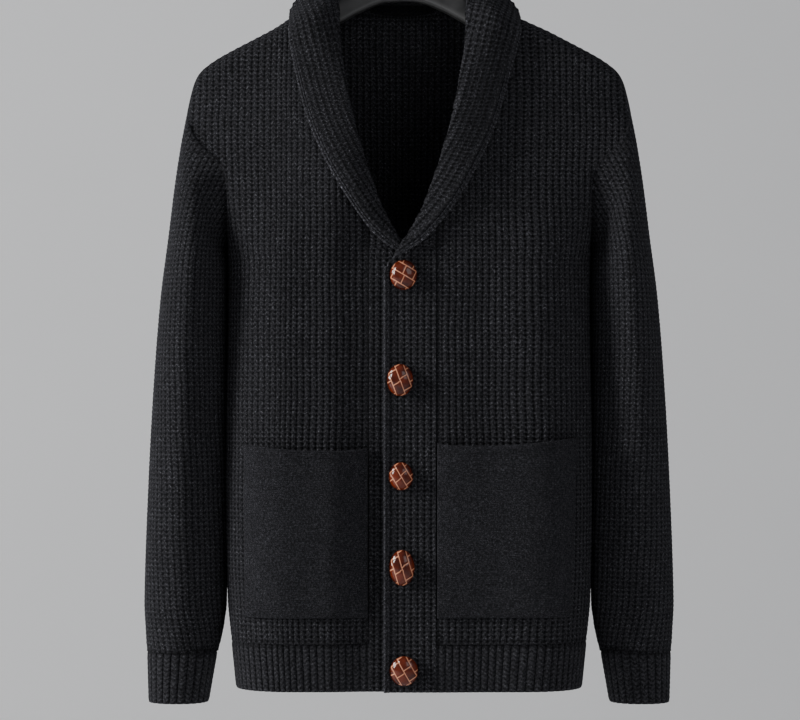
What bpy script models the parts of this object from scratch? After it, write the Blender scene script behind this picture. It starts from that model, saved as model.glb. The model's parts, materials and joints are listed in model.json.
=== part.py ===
"""A shawl collar cardigan in waffle knit, hanging on a wide-shoulder hanger.

Frame: +X to the viewer's right (the wearer's left), +Y to the back, +Z up. The origin is the
inside crown of the hanger's hook, which is what holds the whole thing up.

The tables and sizes below are in millimetres and each mesh is scaled to metres as it is made.
A point of the cloth is first worked out in the garment's own even halves: x runs from the centre
front or centre back outwards, and `placed` then moves the sides over, because the neck doesn't
hang quite over the middle of the body.
"""

import math

import bmesh
import bpy
import numpy as np

MM = 0.001

# --- driving sizes, in mm ---------------------------------------------------------------------
CLOTH = 3.0  # thickness of the knit
SEAM_HALF = 0.15  # each piece stops this far short of the seam line
BODY_SHIFT = 6.5  # the body's middle lies this far to the right of the neck's middle
SHIFT_FROM, SHIFT_OVER = 98.0, 44.0  # where across the chest that shift comes in

HEM_Z = -800.0
HEM_SEAM_Z = -752.8
UNDERARM_Z = -365.0
CUFF_Z = -816.0
CUFF_SEAM_Z = -765.0
BAND_SEAM_X = 32.6  # from the centre front to the seam of the button band
BAND_EDGE_X = -16.2  # the band's free edge lies past the centre front
BACK_NECK_Z = -130.0
NECK_HALF = 82.0  # half the neck opening, along the shoulder
SHOULDER_HALF = 222.0  # from the middle out to the top of the armhole seam

RIDGE_HALF = 22.0  # half the depth of the cloth where it folds over the hanger
RIDGE_DROP = 15.0  # height of that rounded fold
CHEST_DROP = 235.0  # below the shoulder by this much, the body has its full depth
CHEST_FRONT, CHEST_BACK = 75.0, 70.0
SECTION_POWER = 3.8  # how square the body's section is

PROUD = 2.5  # the top button band lifts its own front by this much
PROUD_OVER = 66.0


def columns(names, rows):
    """A table as a dictionary of named columns."""
    return dict(zip(names.split(), np.array(rows, float).T))


# The shoulder line, from the neck out to the armhole seam.
RIDGE = columns(
    "x z",
    (
        (0, -66),
        (82, -112),
        (116, -134),
        (150, -152),
        (186, -171),
        (200, -180),
        (209, -188),
        (214.5, -198),
        (218.5, -212),
        (SHOULDER_HALF, -229),
    ),
)

# The body below the underarm: half width, and depth in front of and behind the side seam.
TORSO = columns(
    "z half_width front back",
    (
        (-800, 172.5, 69, 62),
        (-785, 174, 70, 63),
        (-752.8, 177, 72, 66),
        (-700, 179, 74, 69),
        (-640, 180, 76, 70),
        (-540, 180, 77, 70),
        (-440, 178.5, 76, 70),
        (-365, 178.5, 75, 70),
    ),
)

# The armhole seam, from the underarm (0) up to the shoulder (10).
ARMHOLE = columns(
    "row x y z",
    (
        (0, 180, 0, -365),
        (1, 180, 20, -352),
        (2, 180, 34, -332),
        (3, 180, 43, -310),
        (4, 182, 46, -291),
        (5, 190, 45, -278),
        (6, 201, 41, -268),
        (7, 211, 35, -257),
        (8, 218, 26, -243),
        (9, 221, 14, -234),
        (10, SHOULDER_HALF, 0, -229),
    ),
)

# The neck edge of the front by the same rows, and the collar that is sewn to it: the seam, the
# roll line, the free edge, the way the fall lies out from the stand, and how full the fall is.
NECK = columns(
    "row seam_x seam_z roll_x roll_y roll_z edge_x edge_z turn full",
    (
        (0, 32.6, -365, -3, -73.5, -363, -9, -375, 0, 0),
        (1, 33, -345, 8, -73.5, -347, 19, -358, 0, 0),
        (2, 36.5, -322, 20, -73.5, -324, 42, -333, 0, 1),
        (3, 41.5, -298, 29.5, -72.5, -299, 59, -308, 0, 1.5),
        (4, 48, -273, 37.5, -67.5, -273, 74, -280, 0, 1.5),
        (5, 55.5, -248, 45, -59.3, -247, 87, -251, 0, 1.5),
        (6, 63, -222, 51.5, -49.5, -220, 96.5, -222, 0, 1.5),
        (7, 70, -195, 56.5, -39.5, -193, 104, -194, 5, 2),
        (8, 75.5, -168, 60.5, -29.8, -162, 109.5, -168, 15, 5),
        (9, 79.5, -140, 62.5, -21, -129, 113, -149, 32, 9),
        (10, 82, -112, 64, -8, -95, 113, -130, 90, 9),
    ),
)

# The cloth at the armhole faces away from a line inside it, and more steeply out than up.
ARMHOLE_MIDDLE_X, ARMHOLE_MIDDLE_Z = 178.0, -300.0
ARMHOLE_FACES_OUT, ARMHOLE_FACES_UP = 1.2, 0.35

# How far the covered front sinks behind the top band at the centre.
SINK = columns(
    "z depth",
    ((-800, 4), (-400, 4.5), (-375, 8), (-345, 8), (-320, 6), (-250, 0), (-100, 0)),
)
SINK_FROM, SINK_OVER = 35.0, 40.0

# The sleeve below its head, by the height of its outer side.
SLEEVE = columns(
    "z inner outer depth",
    (
        (-816, 200, 260.5, 31),
        (-765, 191, 262, 36),
        (-745, 187, 263, 39),
        (-715, 183.5, 264.3, 43),
        (-615, 182.2, 261, 51.5),
        (-515, 182.2, 255.8, 60),
        (-415, 182.2, 248, 68.5),
        (-350, 182.2, 239.6, 71),
        (-300, 182.2, 233.5, 65),
        (-260, 182.2, 227.5, 55),
        (-229, 182.2, 222, 47),
    ),
)
SLEEVE_POWER = 2.4
SLEEVE_SLANT = 136.0  # the sleeve's first ring stands this much higher outside than inside
SLEEVE_SLANT_ENDS = 260.0
SLEEVE_HEAD = 30.0  # over this drop the sleeve leaves the armhole's shape for its own
SLEEVE_DROPS = (0, 10, 22, 40, 65, 100, 140, 185, 235, 290, 350, 410, 470, 510, 536)

FRONT_STEPS = (0, 0.12, 0.26, 0.42, 0.58, 0.72, 0.83, 0.9, 0.95, 0.985, 1)
ON_SHOULDER = NECK_HALF / SHOULDER_HALF
BACK_STEPS = (0, 0.14, 0.26, 0.34, ON_SHOULDER, 0.5, 0.62, 0.73, 0.83, 0.9, 0.95, 0.985, 1)
NECK_STEPS = 4  # the first of BACK_STEPS that is on the shoulder and not on the neck
LOWER_ROWS = (-1, -0.86, -0.7, -0.5, -0.3, -0.12)
UPPER_ROWS = (0, 1, 2, 3.5, 5, 6.5, 8, 9, 9.6, 10)


# --- small helpers ----------------------------------------------------------------------------
def smooth(t):
    t = min(max(t, 0.0), 1.0)
    return t * t * (3 - 2 * t)


def between(a, b, t):
    return a + (b - a) * t


def unit(vector):
    vector = np.asarray(vector, float)
    return vector / max(float(np.linalg.norm(vector)), 1e-12)


def along(table, key, name, at):
    """A smooth curve through one column of a table, read at one value of its key column."""
    xs, ys = table[key], table[name]
    at = min(max(at, xs[0]), xs[-1])
    i = min(max(int(np.searchsorted(xs, at)) - 1, 0), len(xs) - 2)
    span = xs[i + 1] - xs[i]
    before, after = max(i - 1, 0), min(i + 2, len(xs) - 1)
    slope_in = (ys[i + 1] - ys[before]) / (xs[i + 1] - xs[before]) * span
    slope_out = (ys[after] - ys[i]) / (xs[after] - xs[i]) * span
    t = (at - xs[i]) / span
    return float(
        ys[i] * (1 + 2 * t) * (1 - t) ** 2
        + ys[i + 1] * t * t * (3 - 2 * t)
        + slope_in * t * (1 - t) ** 2
        - slope_out * t * t * (1 - t)
    )


def placed(point):
    """From the garment's even halves to its real place."""
    x, y, z = point
    over = BODY_SHIFT * smooth((abs(x) - SHIFT_FROM) / SHIFT_OVER)
    return (x + over, y, z)


# --- the surface of the body ------------------------------------------------------------------
def ridge(x):
    return along(RIDGE, "x", "z", abs(x))


def drop_depth(drop, chest):
    """How far the cloth stands out from the shoulder line, this far below it."""
    rounded = RIDGE_HALF * math.sqrt(1 - (1 - min(max(drop, 0) / RIDGE_DROP, 1)) ** 2)
    return rounded + (chest - RIDGE_HALF) * smooth(drop / CHEST_DROP)


def lap(side, x, z):
    """The top front stands proud near the centre, and the covered one sinks."""
    if side > 0:
        return PROUD * (1 - smooth((abs(x) - BAND_SEAM_X) / PROUD_OVER))
    return -along(SINK, "z", "depth", z) * (1 - smooth((abs(x) - SINK_FROM) / SINK_OVER))


def centre_depth(side, x, z):
    """Depth of the outer face of a front near its centre edge, where the body is flat."""
    if z < UNDERARM_Z:
        return along(TORSO, "z", "front", z) + lap(side, x, z)
    return drop_depth(ridge(x) - z, CHEST_FRONT) + lap(side, x, z)


def armhole(row, face):
    """A point of the armhole seam of the right-hand side, in front (-1) or behind (1)."""
    return np.array(
        [
            along(ARMHOLE, "row", "x", row),
            face * along(ARMHOLE, "row", "y", row),
            along(ARMHOLE, "row", "z", row),
        ]
    )


def armhole_normal(row, face):
    x, y, z = armhole(row, face)
    up = ARMHOLE_FACES_UP * (z - ARMHOLE_MIDDLE_Z)
    return unit((x - ARMHOLE_MIDDLE_X, ARMHOLE_FACES_OUT * y, up))


def armhole_across(row, face):
    """Across the armhole seam, from the body to the sleeve."""
    if row <= 0 or row >= 10:
        tangent = np.array([0.0, face, 0.0]) * (1 if row >= 10 else -1)
    else:
        tangent = armhole(row - 0.25, face) - armhole(row + 0.25, face)
    across = unit(np.cross(armhole_normal(row, face), tangent))
    towards_sleeve = np.array([1.0, 0.0, -0.3])
    return across if across @ towards_sleeve > 0 else -across


def top_edge_z(face, x):
    """The shoulder line, and behind it the curve of the back neck."""
    if face > 0 and x < NECK_HALF:
        lift = ridge(NECK_HALF) - BACK_NECK_Z
        return ridge(NECK_HALF) - lift * math.sqrt(max(0, 1 - (x / NECK_HALF) ** 2))
    return ridge(x)


def torso(side, face, row, step):
    """A point of the body's outer surface, in the even halves with x always positive.

    Rows from -1 to 0 run from the hem rib to the underarm, and rows from 0 to 10 fan out from
    there to the shoulder. Steps run from the centre edge (0) to the side or armhole (1).
    """
    if row < 0:
        z = between(HEM_SEAM_Z, UNDERARM_Z, row + 1)
        return torso_level(side, face, z, step)
    out = armhole(row, face)
    inner_x = along(NECK, "row", "seam_x", row) if face < 0 else 0.0
    if face < 0:
        inner_z = along(NECK, "row", "seam_z", row)
    else:
        inner_z = between(UNDERARM_Z, BACK_NECK_Z, row / 10)
    x = between(inner_x, out[0], step)
    top_in = inner_x if row >= 10 else (NECK_HALF if face < 0 else 0.0)
    top_x = between(top_in, SHOULDER_HALF, step)
    chord = between(top_edge_z(face, top_in), ridge(SHOULDER_HALF), step)
    crown = (top_edge_z(face, top_x) - chord) * (row / 10) ** 3
    z = between(inner_z, out[2], step) + crown
    chest = CHEST_FRONT if face < 0 else CHEST_BACK
    depth = drop_depth(ridge(x) - z, chest)
    fall = (1 - (x / out[0]) ** SECTION_POWER) ** (1 / SECTION_POWER)
    y = abs(out[1]) + (depth - abs(out[1])) * fall
    if face < 0:
        y += lap(side, x, z) * fall
    return np.array([x, face * y, z])


def torso_level(side, face, z, step):
    """A point of the body at one height below the underarm."""
    half = along(TORSO, "z", "half_width", z)
    half += (armhole(0, face)[0] - half) * smooth((z - UNDERARM_Z + 12) / 12)
    depth = along(TORSO, "z", "front" if face < 0 else "back", z)
    x = between(BAND_SEAM_X if face < 0 else 0.0, half, step)
    fall = (1 - min(x / half, 1) ** SECTION_POWER) ** (1 / SECTION_POWER)
    y = depth * fall
    if face < 0:
        y += lap(side, x, z) * fall
    return np.array([x, face * y, z])


# --- walls ------------------------------------------------------------------------------------
def grid_normals(points, wrap=False):
    """Unit normals of a grid of points, from the slopes along its rows and columns."""
    rows = np.gradient(points, axis=0)
    if wrap:
        cols = np.roll(points, -1, axis=1) - np.roll(points, 1, axis=1)
    else:
        cols = np.gradient(points, axis=1)
    normal = np.cross(cols, rows)
    return normal / np.maximum(np.linalg.norm(normal, axis=2, keepdims=True), 1e-12)


def outward(points, normals, centre_of_row):
    """Turns all the normals the same way, away from the middle of the tube or body."""
    away = points - centre_of_row
    return normals if float((normals * away).sum()) > 0 else -normals


def flattened(normals, axis):
    """Normals with no part along one axis, for a seam that lies in a plane across it."""
    flat = normals.copy()
    flat[..., axis] = 0
    return flat / np.linalg.norm(flat, axis=-1, keepdims=True)


def inset(points, index, direction):
    """Moves one edge of a grid back from its seam."""
    points[index] += SEAM_HALF * np.asarray(direction)


def wall(name, outer, inner, material, mirror=1, wrap=False):
    """One closed piece of cloth between two grids of points with the same rows and columns."""
    rows, cols = outer.shape[:2]
    mesh = bmesh.new()
    sheets = []
    for grid in (outer, inner):
        sheet = []
        for row in grid:
            spots = [placed((mirror * x, y, z)) for x, y, z in row]
            sheet.append([mesh.verts.new([c * MM for c in spot]) for spot in spots])
        sheets.append(sheet)
    spans = cols if wrap else cols - 1
    for r in range(rows - 1):
        for c in range(spans):
            d = (c + 1) % cols
            for sheet in sheets:
                mesh.faces.new((sheet[r][c], sheet[r][d], sheet[r + 1][d], sheet[r + 1][c]))
    over, under = sheets
    for c in range(spans):
        d = (c + 1) % cols
        for r in (0, rows - 1):
            mesh.faces.new((over[r][c], over[r][d], under[r][d], under[r][c]))
    if not wrap:
        for r in range(rows - 1):
            for c in (0, cols - 1):
                mesh.faces.new((over[r][c], over[r + 1][c], under[r + 1][c], under[r][c]))
    return finished(name, mesh, material)


def finished(name, mesh, material):
    bmesh.ops.recalc_face_normals(mesh, faces=mesh.faces)
    data = bpy.data.meshes.new(name)
    mesh.to_mesh(data)
    mesh.free()
    data.shade_smooth()
    data.set_sharp_from_angle(angle=math.radians(40))
    data.materials.append(material)
    thing = bpy.data.objects.new(name, data)
    PARTS.objects.link(thing)
    return thing


def surface(name, color, roughness, metallic=0.0):
    material = bpy.data.materials.new(name)
    material.use_nodes = True
    shader = material.node_tree.nodes["Principled BSDF"]
    shader.inputs["Base Color"].default_value = (*color, 1)
    shader.inputs["Roughness"].default_value = roughness
    shader.inputs["Metallic"].default_value = metallic
    return material


# --- the pieces of cloth ----------------------------------------------------------------------
ROWS = LOWER_ROWS + UPPER_ROWS
FIRST_UPPER = len(LOWER_ROWS)
SHOULDER_NORMAL = unit((0.56, 0, 1))
EASED_FROM_ROW = 7.5  # from this row round the back, the neck seam bends over the hanger
EASE = 5.0  # so there the two pieces stop this many times further from it


def neck_ease(row):
    return between(1.0, EASE, smooth(row - EASED_FROM_ROW))


def panel_grid(side, face, steps):
    """Outer points and normals of one front, or of the right half of the back."""
    points = np.array([[torso(side, face, row, step) for step in steps] for row in ROWS])
    middle = np.array([[(0, 0, row[0][2])] for row in points])
    normals = outward(points, grid_normals(points), middle)
    normals[0] = flattened(normals[0], 2)
    normals[: FIRST_UPPER + 1, -1] = flattened(normals[: FIRST_UPPER + 1, -1], 1)
    first_on_shoulder = 0 if face < 0 else NECK_STEPS
    normals[-1, first_on_shoulder:] = flattened(normals[-1, first_on_shoulder:], 1)
    normals[-1, first_on_shoulder] = SHOULDER_NORMAL
    centre_rows = FIRST_UPPER + 1 if face < 0 else len(ROWS)
    normals[:centre_rows, 0] = flattened(normals[:centre_rows, 0], 0)
    for r in range(FIRST_UPPER, len(ROWS)):
        normals[r, -1] = armhole_normal(ROWS[r], face)
    return points, normals


def panel_sheets(side, face, steps):
    """The two faces of a front or of half the back, stopped short at every seam."""
    outer, normals = panel_grid(side, face, steps)
    inner = outer - CLOTH * normals
    neck_edge = outer.copy()
    for sheet in (outer, inner):
        inset(sheet, 0, (0, 0, 1))
        inset(sheet, (slice(0, FIRST_UPPER + 1), -1), (0, face, 0))
        for r in range(FIRST_UPPER, len(ROWS)):
            inset(sheet, (r, -1), -armhole_across(ROWS[r], face))
        if face < 0:
            inset(sheet, -1, (0, face, 0))
            inset(sheet, (slice(0, FIRST_UPPER + 1), 0), (1, 0, 0))
            for r in range(FIRST_UPPER + 1, len(ROWS)):
                into = unit(neck_edge[r, 1] - neck_edge[r, 0])
                inset(sheet, (r, 0), into * neck_ease(ROWS[r]))
        else:
            inset(sheet, (-1, slice(NECK_STEPS, None)), (0, face, 0))
            for c in range(NECK_STEPS + 1):
                inset(sheet, (-1, c), unit(neck_edge[-2, c] - neck_edge[-1, c]) * EASE)
    return outer, inner


def mirrored(half):
    """Both halves of a grid whose first column is on the centre line."""
    other = half[:, :0:-1] * np.array([-1.0, 1.0, 1.0])
    return np.concatenate([other, half], axis=1)


def make_panels(knit):
    for side, name in ((-1, "front_left"), (1, "front_right")):
        outer, inner = panel_sheets(side, -1, FRONT_STEPS)
        wall(name, outer, inner, knit, mirror=side)
    outer, inner = panel_sheets(0, 1, BACK_STEPS)
    wall("back", mirrored(outer), mirrored(inner), knit)


def sleeve_ring(drop):
    """Outer points of the sleeve at this drop below the shoulder point."""
    steps = [(row, -1) for row in reversed(UPPER_ROWS)] + [(row, 1) for row in UPPER_ROWS[1:-1]]
    seam = np.array([armhole(row, face) for row, face in steps])
    lengths = np.linalg.norm(seam - np.roll(seam, 1, axis=0), axis=1)
    turns = (np.cumsum(lengths) - lengths[0]) / lengths.sum() * 2 * math.pi
    high = armhole(10, 1)[2] - drop
    slant = SLEEVE_SLANT * max(0, 1 - drop / SLEEVE_SLANT_ENDS) ** 1.5
    inner = along(SLEEVE, "z", "inner", high)
    outer = along(SLEEVE, "z", "outer", high)
    depth = along(SLEEVE, "z", "depth", high)
    power = 2 / SLEEVE_POWER
    ring = []
    for turn in turns:
        out = math.copysign(abs(math.cos(turn)) ** power, math.cos(turn))
        front = math.copysign(abs(math.sin(turn)) ** power, math.sin(turn))
        share = (out + 1) / 2
        ring.append((between(inner, outer, share), -depth * front, high - slant * (1 - share)))
    return between(seam, np.array(ring), smooth(drop / SLEEVE_HEAD)), steps


def make_sleeve(side, name, knit):
    rings = [sleeve_ring(drop)[0] for drop in SLEEVE_DROPS]
    steps = sleeve_ring(0)[1]
    outer = np.array(rings)
    normals = outward(outer, grid_normals(outer, wrap=True), outer.mean(axis=1, keepdims=True))
    normals[-1] = flattened(normals[-1], 2)
    for c, (row, face) in enumerate(steps):
        normals[0, c] = armhole_normal(row, face)
    inner = outer - CLOTH * normals
    for sheet in (outer, inner):
        for c, (row, face) in enumerate(steps):
            inset(sheet, (0, c), armhole_across(row, face))
        inset(sheet, -1, (0, 0, 1))
    wall(name, outer, inner, knit, mirror=side, wrap=True)


# --- ribs -------------------------------------------------------------------------------------
RIB_DEPTH = 1.2
CUFF_RIBS = 26
HEM_RIBS_HALF = 27
FINE = 721  # points along a path before it is divided evenly
CROWDED = 0.6  # the power that crowds a hem's fine points where it bends round to the side


def ribbed(rings, normals):
    """Outer and inner points of a rib: every other column of the outer face lies deeper."""
    outer = rings.copy()
    outer[:, 1::2] -= RIB_DEPTH * normals[:, 1::2]
    return outer, rings - CLOTH * normals


def cuff_ring(z):
    inner = along(SLEEVE, "z", "inner", z)
    outer = along(SLEEVE, "z", "outer", z)
    depth = along(SLEEVE, "z", "depth", z)
    middle, half = (inner + outer) / 2, (outer - inner) / 2
    fine = np.linspace(0, 2 * math.pi, FINE)
    power = 2 / SLEEVE_POWER
    x = middle + half * np.sign(np.cos(fine)) * np.abs(np.cos(fine)) ** power
    y = -depth * np.sign(np.sin(fine)) * np.abs(np.sin(fine)) ** power
    path = np.stack([x, y, np.full_like(x, z)], axis=1)
    return evenly(path, 2 * CUFF_RIBS + 1)[:-1]


def evenly(path, count):
    """Points at equal distances along a fine path."""
    lengths = np.linalg.norm(np.diff(path, axis=0), axis=1)
    travelled = np.concatenate([[0], np.cumsum(lengths)])
    stops = np.linspace(0, travelled[-1], count)
    return np.stack([np.interp(stops, travelled, path[:, k]) for k in range(3)], axis=1)


def make_cuff(side, name, rib):
    rings = np.array([cuff_ring(CUFF_Z), cuff_ring(CUFF_SEAM_Z)])
    normals = outward(rings, grid_normals(rings, wrap=True), rings.mean(axis=1, keepdims=True))
    normals = flattened(normals, 2)
    outer, inner = ribbed(rings, normals)
    for sheet in (outer, inner):
        inset(sheet, -1, (0, 0, -1))
    wall(name, outer, inner, rib, mirror=side, wrap=True)


def hem_half(side, face):
    """Outer and inner points of the hem rib from the centre edge to the side seam."""
    fine = np.linspace(0, 1, FINE) ** CROWDED
    rings = []
    for z in (HEM_Z, HEM_SEAM_Z):
        path = np.array([torso_level(side, face, z, step) for step in fine])
        rings.append(evenly(path, 2 * HEM_RIBS_HALF + 1))
    rings = np.array(rings)
    middle = np.array([[(0, 0, row[0][2])] for row in rings])
    normals = flattened(outward(rings, grid_normals(rings), middle), 2)
    normals[:, -1] = (1, 0, 0)
    normals[:, 0] = (0, face, 0)
    outer, inner = ribbed(rings, normals)
    for sheet in (outer, inner):
        inset(sheet, -1, (0, 0, -1))
        inset(sheet, (slice(None), -1), (0, face, 0))
        if face < 0:
            inset(sheet, (slice(None), 0), (1, 0, 0))
    return outer, inner


def make_hem(rib):
    for side, name in ((-1, "hem_front_left"), (1, "hem_front_right")):
        outer, inner = hem_half(side, -1)
        wall(name, outer, inner, rib, mirror=side)
    outer, inner = hem_half(0, 1)
    wall("hem_back", mirrored(outer), mirrored(inner), rib)


# --- button bands -----------------------------------------------------------------------------
WELT_WIDTH, WELT_HEIGHT = 8.0, 1.0
WELT_SLOPE = 0.8  # the welt's sides rise over this width
BAND_TOPS = columns(
    "x z",
    ((-16.2, -389), (-15.4, -384), (-9, -374), (-8.2, -372.5), (-3, -367), (5, -365.6), (32.6, -365)),
)
BAND_ROWS = (-800, -785, -752.8, -715, -670, -625, -580, -535, -490, -450, -415, -395)


def make_band(side, name, knit):
    edge, welt = BAND_EDGE_X, BAND_EDGE_X + WELT_WIDTH
    columns_x = (BAND_SEAM_X, 20, 5, -3, welt + WELT_SLOPE, welt, edge + WELT_SLOPE, edge)
    outer, inner = [], []
    for level in (*BAND_ROWS, None):
        outer_row, inner_row = [], []
        for x in columns_x:
            z = level
            if z is None:
                z = float(np.interp(x, BAND_TOPS["x"], BAND_TOPS["z"]))
            depth = centre_depth(side, x, z)
            raised = WELT_HEIGHT if edge < x <= welt else 0
            outer_row.append((x, -depth - raised, z))
            inner_row.append((x, CLOTH - depth, z))
        outer.append(outer_row)
        inner.append(inner_row)
    outer, inner = np.array(outer), np.array(inner)
    for sheet in (outer, inner):
        inset(sheet, (slice(None), 0), (-1, 0, 0))
        inset(sheet, -1, (0, 0, -1))
    return wall(name, outer, inner, knit, mirror=side)


# --- the shawl collar -------------------------------------------------------------------------
ROLL_RADIUS = 2.4  # of the middle of the cloth, where the collar turns over
FALL_GAP = 3.0  # the middle of the fall lies this far outside the front's face
COLLAR_ROLL_BACK = (28.0, -88.0)  # y and z of the roll at the centre back
COLLAR_EDGE_X, COLLAR_EDGE_Z, COLLAR_EDGE_BACK_Z = 113.0, -130.0, -143.0
COLLAR_BACK_FULL = 4.0
FULL_OVER_SINK = 0.6  # over the sunken front the fall is fuller by this share of the sink
OVER_SINK_FROM, OVER_SINK_OVER = 20.0, 30.0
STAND_WAIST = 0.55  # where the stand's middle column lies, as a share of its height


def off_surface(side, face, x, z, distance):
    """A point this far off the face of a front or the back, along its normal."""
    small = 0.5

    def depth(at_x, at_z):
        if face < 0:
            return centre_depth(side, at_x, at_z)
        return drop_depth(ridge(at_x) - at_z, CHEST_BACK)

    slope_x = (depth(x + small, z) - depth(x - small, z)) / (2 * small)
    slope_z = (depth(x, z + small) - depth(x, z - small)) / (2 * small)
    normal = unit((-slope_x, face, -slope_z))
    return np.array([x, face * depth(x, z), z]) + distance * normal


def front_station(side, row, seam, seam_normal):
    """Seam, roll, edge, way out and fullness of the collar at one row of a front."""
    roll_x, roll_z = along(NECK, "row", "roll_x", row), along(NECK, "row", "roll_z", row)
    roll_y = along(NECK, "row", "roll_y", row) - lap(side, roll_x, roll_z)
    edge_x, edge_z = along(NECK, "row", "edge_x", row), along(NECK, "row", "edge_z", row)
    edge = off_surface(side, -1, edge_x, edge_z, FALL_GAP)
    if row >= UPPER_ROWS[-1]:
        edge = np.array([edge_x, 0.0, edge_z])
    turn = math.radians(along(NECK, "row", "turn", row))
    out = np.array([math.sin(turn), -math.cos(turn), 0])
    sunken = -min(0, lap(side, 0, roll_z)) * smooth((edge_x - OVER_SINK_FROM) / OVER_SINK_OVER)
    full = row_full(row) + FULL_OVER_SINK * sunken
    return seam, seam_normal, np.array([roll_x, roll_y, roll_z]), edge, out, full


def row_full(row):
    return along(NECK, "row", "full", row)


def back_station(step, seam, seam_normal):
    """The same behind the shoulder, where the roll and the edge go round to the centre back."""
    round_back = math.acos(min(1.0, step / ON_SHOULDER))
    way, rise = math.cos(round_back), math.sin(round_back)
    shoulder = {name: NECK[name][-1] for name in ("roll_x", "roll_y", "roll_z")}
    roll = np.array(
        [
            shoulder["roll_x"] * way,
            between(shoulder["roll_y"], COLLAR_ROLL_BACK[0], rise),
            between(shoulder["roll_z"], COLLAR_ROLL_BACK[1], rise),
        ]
    )
    edge_z = between(COLLAR_EDGE_Z, COLLAR_EDGE_BACK_Z, rise)
    edge = off_surface(0, 1, COLLAR_EDGE_X * way, edge_z, FALL_GAP)
    out = unit((way, rise, 0))
    full = between(row_full(UPPER_ROWS[-1]), COLLAR_BACK_FULL, rise)
    return seam, seam_normal, roll, edge, out, full


def collar_section(station):
    """The middle line of the collar's cloth at one station, from the seam to the free edge."""
    seam, seam_normal, roll, edge, out, full = station
    start = seam - CLOTH / 2 * seam_normal
    up = unit((roll - start) - out * float((roll - start) @ out))
    stand_top = roll - up * (ROLL_RADIUS + CLOTH / 2)
    apex = stand_top + out * ROLL_RADIUS + up * ROLL_RADIUS
    fall_top = stand_top + out * 2 * ROLL_RADIUS
    length = float(np.linalg.norm(edge - fall_top))
    down = unit(edge - fall_top)
    bulge = unit(out - down * float(out @ down))
    groove = max(length - WELT_WIDTH - WELT_SLOPE, 0.3 * length)
    line = [start, between(start, stand_top, STAND_WAIST), stand_top, apex]
    for travelled in (0, groove / 2, groove, groove + WELT_SLOPE, length - WELT_SLOPE, length):
        share = travelled / length
        line.append(fall_top + down * travelled + bulge * full * 4 * share * (1 - share))
    return line


COLLAR_RAISED = (7, 8)  # the columns of a section that carry the welt


def make_collar(knit):
    """One long wall of stations, from the right-hand break round the neck to the left-hand one."""
    back_points, back_normals = panel_grid(0, 1, BACK_STEPS)
    lines, seam_normals, eases = [], [], []
    for side in (1, -1):
        points, normals = panel_grid(side, -1, FRONT_STEPS)
        half = []
        for r in range(FIRST_UPPER, len(ROWS)):
            half.append((ROWS[r], front_station(side, ROWS[r], points[r, 0], normals[r, 0])))
        for c in range(NECK_STEPS - 1, -1, -1):
            station = back_station(BACK_STEPS[c], back_points[-1, c], back_normals[-1, c])
            half.append((ROWS[-1], station))
        mirror = np.array([side, 1.0, 1.0])
        for row, station in half if side > 0 else half[-2::-1]:
            lines.append([point * mirror for point in collar_section(station)])
            seam_normals.append(station[1] * mirror)
            eases.append(neck_ease(row))
    lines = np.array(lines)
    normals = grid_normals(lines)
    if normals[0, 0, 1] > 0:
        normals = -normals
    normals[:, 0] = seam_normals
    under = lines + CLOTH / 2 * normals
    over = lines - CLOTH / 2 * normals
    for c in COLLAR_RAISED:
        over[:, c] -= WELT_HEIGHT * normals[:, c]
    into = lines[:, 1] - lines[:, 0]
    for r in range(len(lines)):
        for sheet in (under, over):
            inset(sheet, (r, 0), unit(into[r]) * eases[r])
    for r in (0, -1):
        for sheet in (under, over):
            inset(sheet, r, (0, 0, 1))
    wall("collar", under, over, knit)


# --- pockets ----------------------------------------------------------------------------------
POCKETS = columns(
    "side inner_x outer_top_x outer_foot_x top_inner_z top_outer_z foot_z",
    ((-1, 33.6, 161, 160, -560.5, -557, -727.5), (1, 33.6, 164, 156.5, -556, -550.5, -727)),
)
POCKET_GAP = 0.3  # where it is sewn down
POCKET_FULL = 7.5  # how far it stands off the front in the middle
POCKET_STEPS = (0, 0.04, 0.14, 0.3, 0.5, 0.7, 0.86, 0.96, 1)
POCKET_ROWS = (*POCKET_STEPS[:-2], 0.955, 0.965, 1)
ROLLED_FROM, ROLLED_HEIGHT = 0.96, 0.8  # the rolled top edge, as a share of the height, and its rise


def front_at(side, x, z):
    """A point of a front below the underarm, by how far out it is instead of by step."""
    half = along(TORSO, "z", "half_width", z)
    step = (x - BAND_SEAM_X) / (half - BAND_SEAM_X)
    return torso_level(side, -1, z, step)


def make_pocket(index, name, felt):
    size = {key: POCKETS[key][index] for key in POCKETS}
    side = int(size["side"])
    points, lifts, raised = [], [], []
    for v in POCKET_ROWS:
        row, lift_row = [], []
        for u in POCKET_STEPS:
            outer_x = between(size["outer_foot_x"], size["outer_top_x"], v)
            top = between(size["top_inner_z"], size["top_outer_z"], u)
            x = between(size["inner_x"], outer_x, u)
            row.append(front_at(side, x, between(size["foot_z"], top, v)))
            lift = POCKET_FULL * (1 - abs(2 * u - 1) ** 3) * smooth(v / 0.3)
            lift_row.append(POCKET_GAP + lift)
        points.append(row)
        lifts.append(lift_row)
        raised.append([ROLLED_HEIGHT if v > ROLLED_FROM else 0.0] * len(row))
    points = np.array(points)
    normals = outward(points, grid_normals(points), np.array([60, 0, -640]))
    inner = points + np.array(lifts)[..., None] * normals
    outer = inner + (CLOTH + np.array(raised)[..., None]) * normals
    wall(name, outer, inner, felt, mirror=side)


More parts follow.
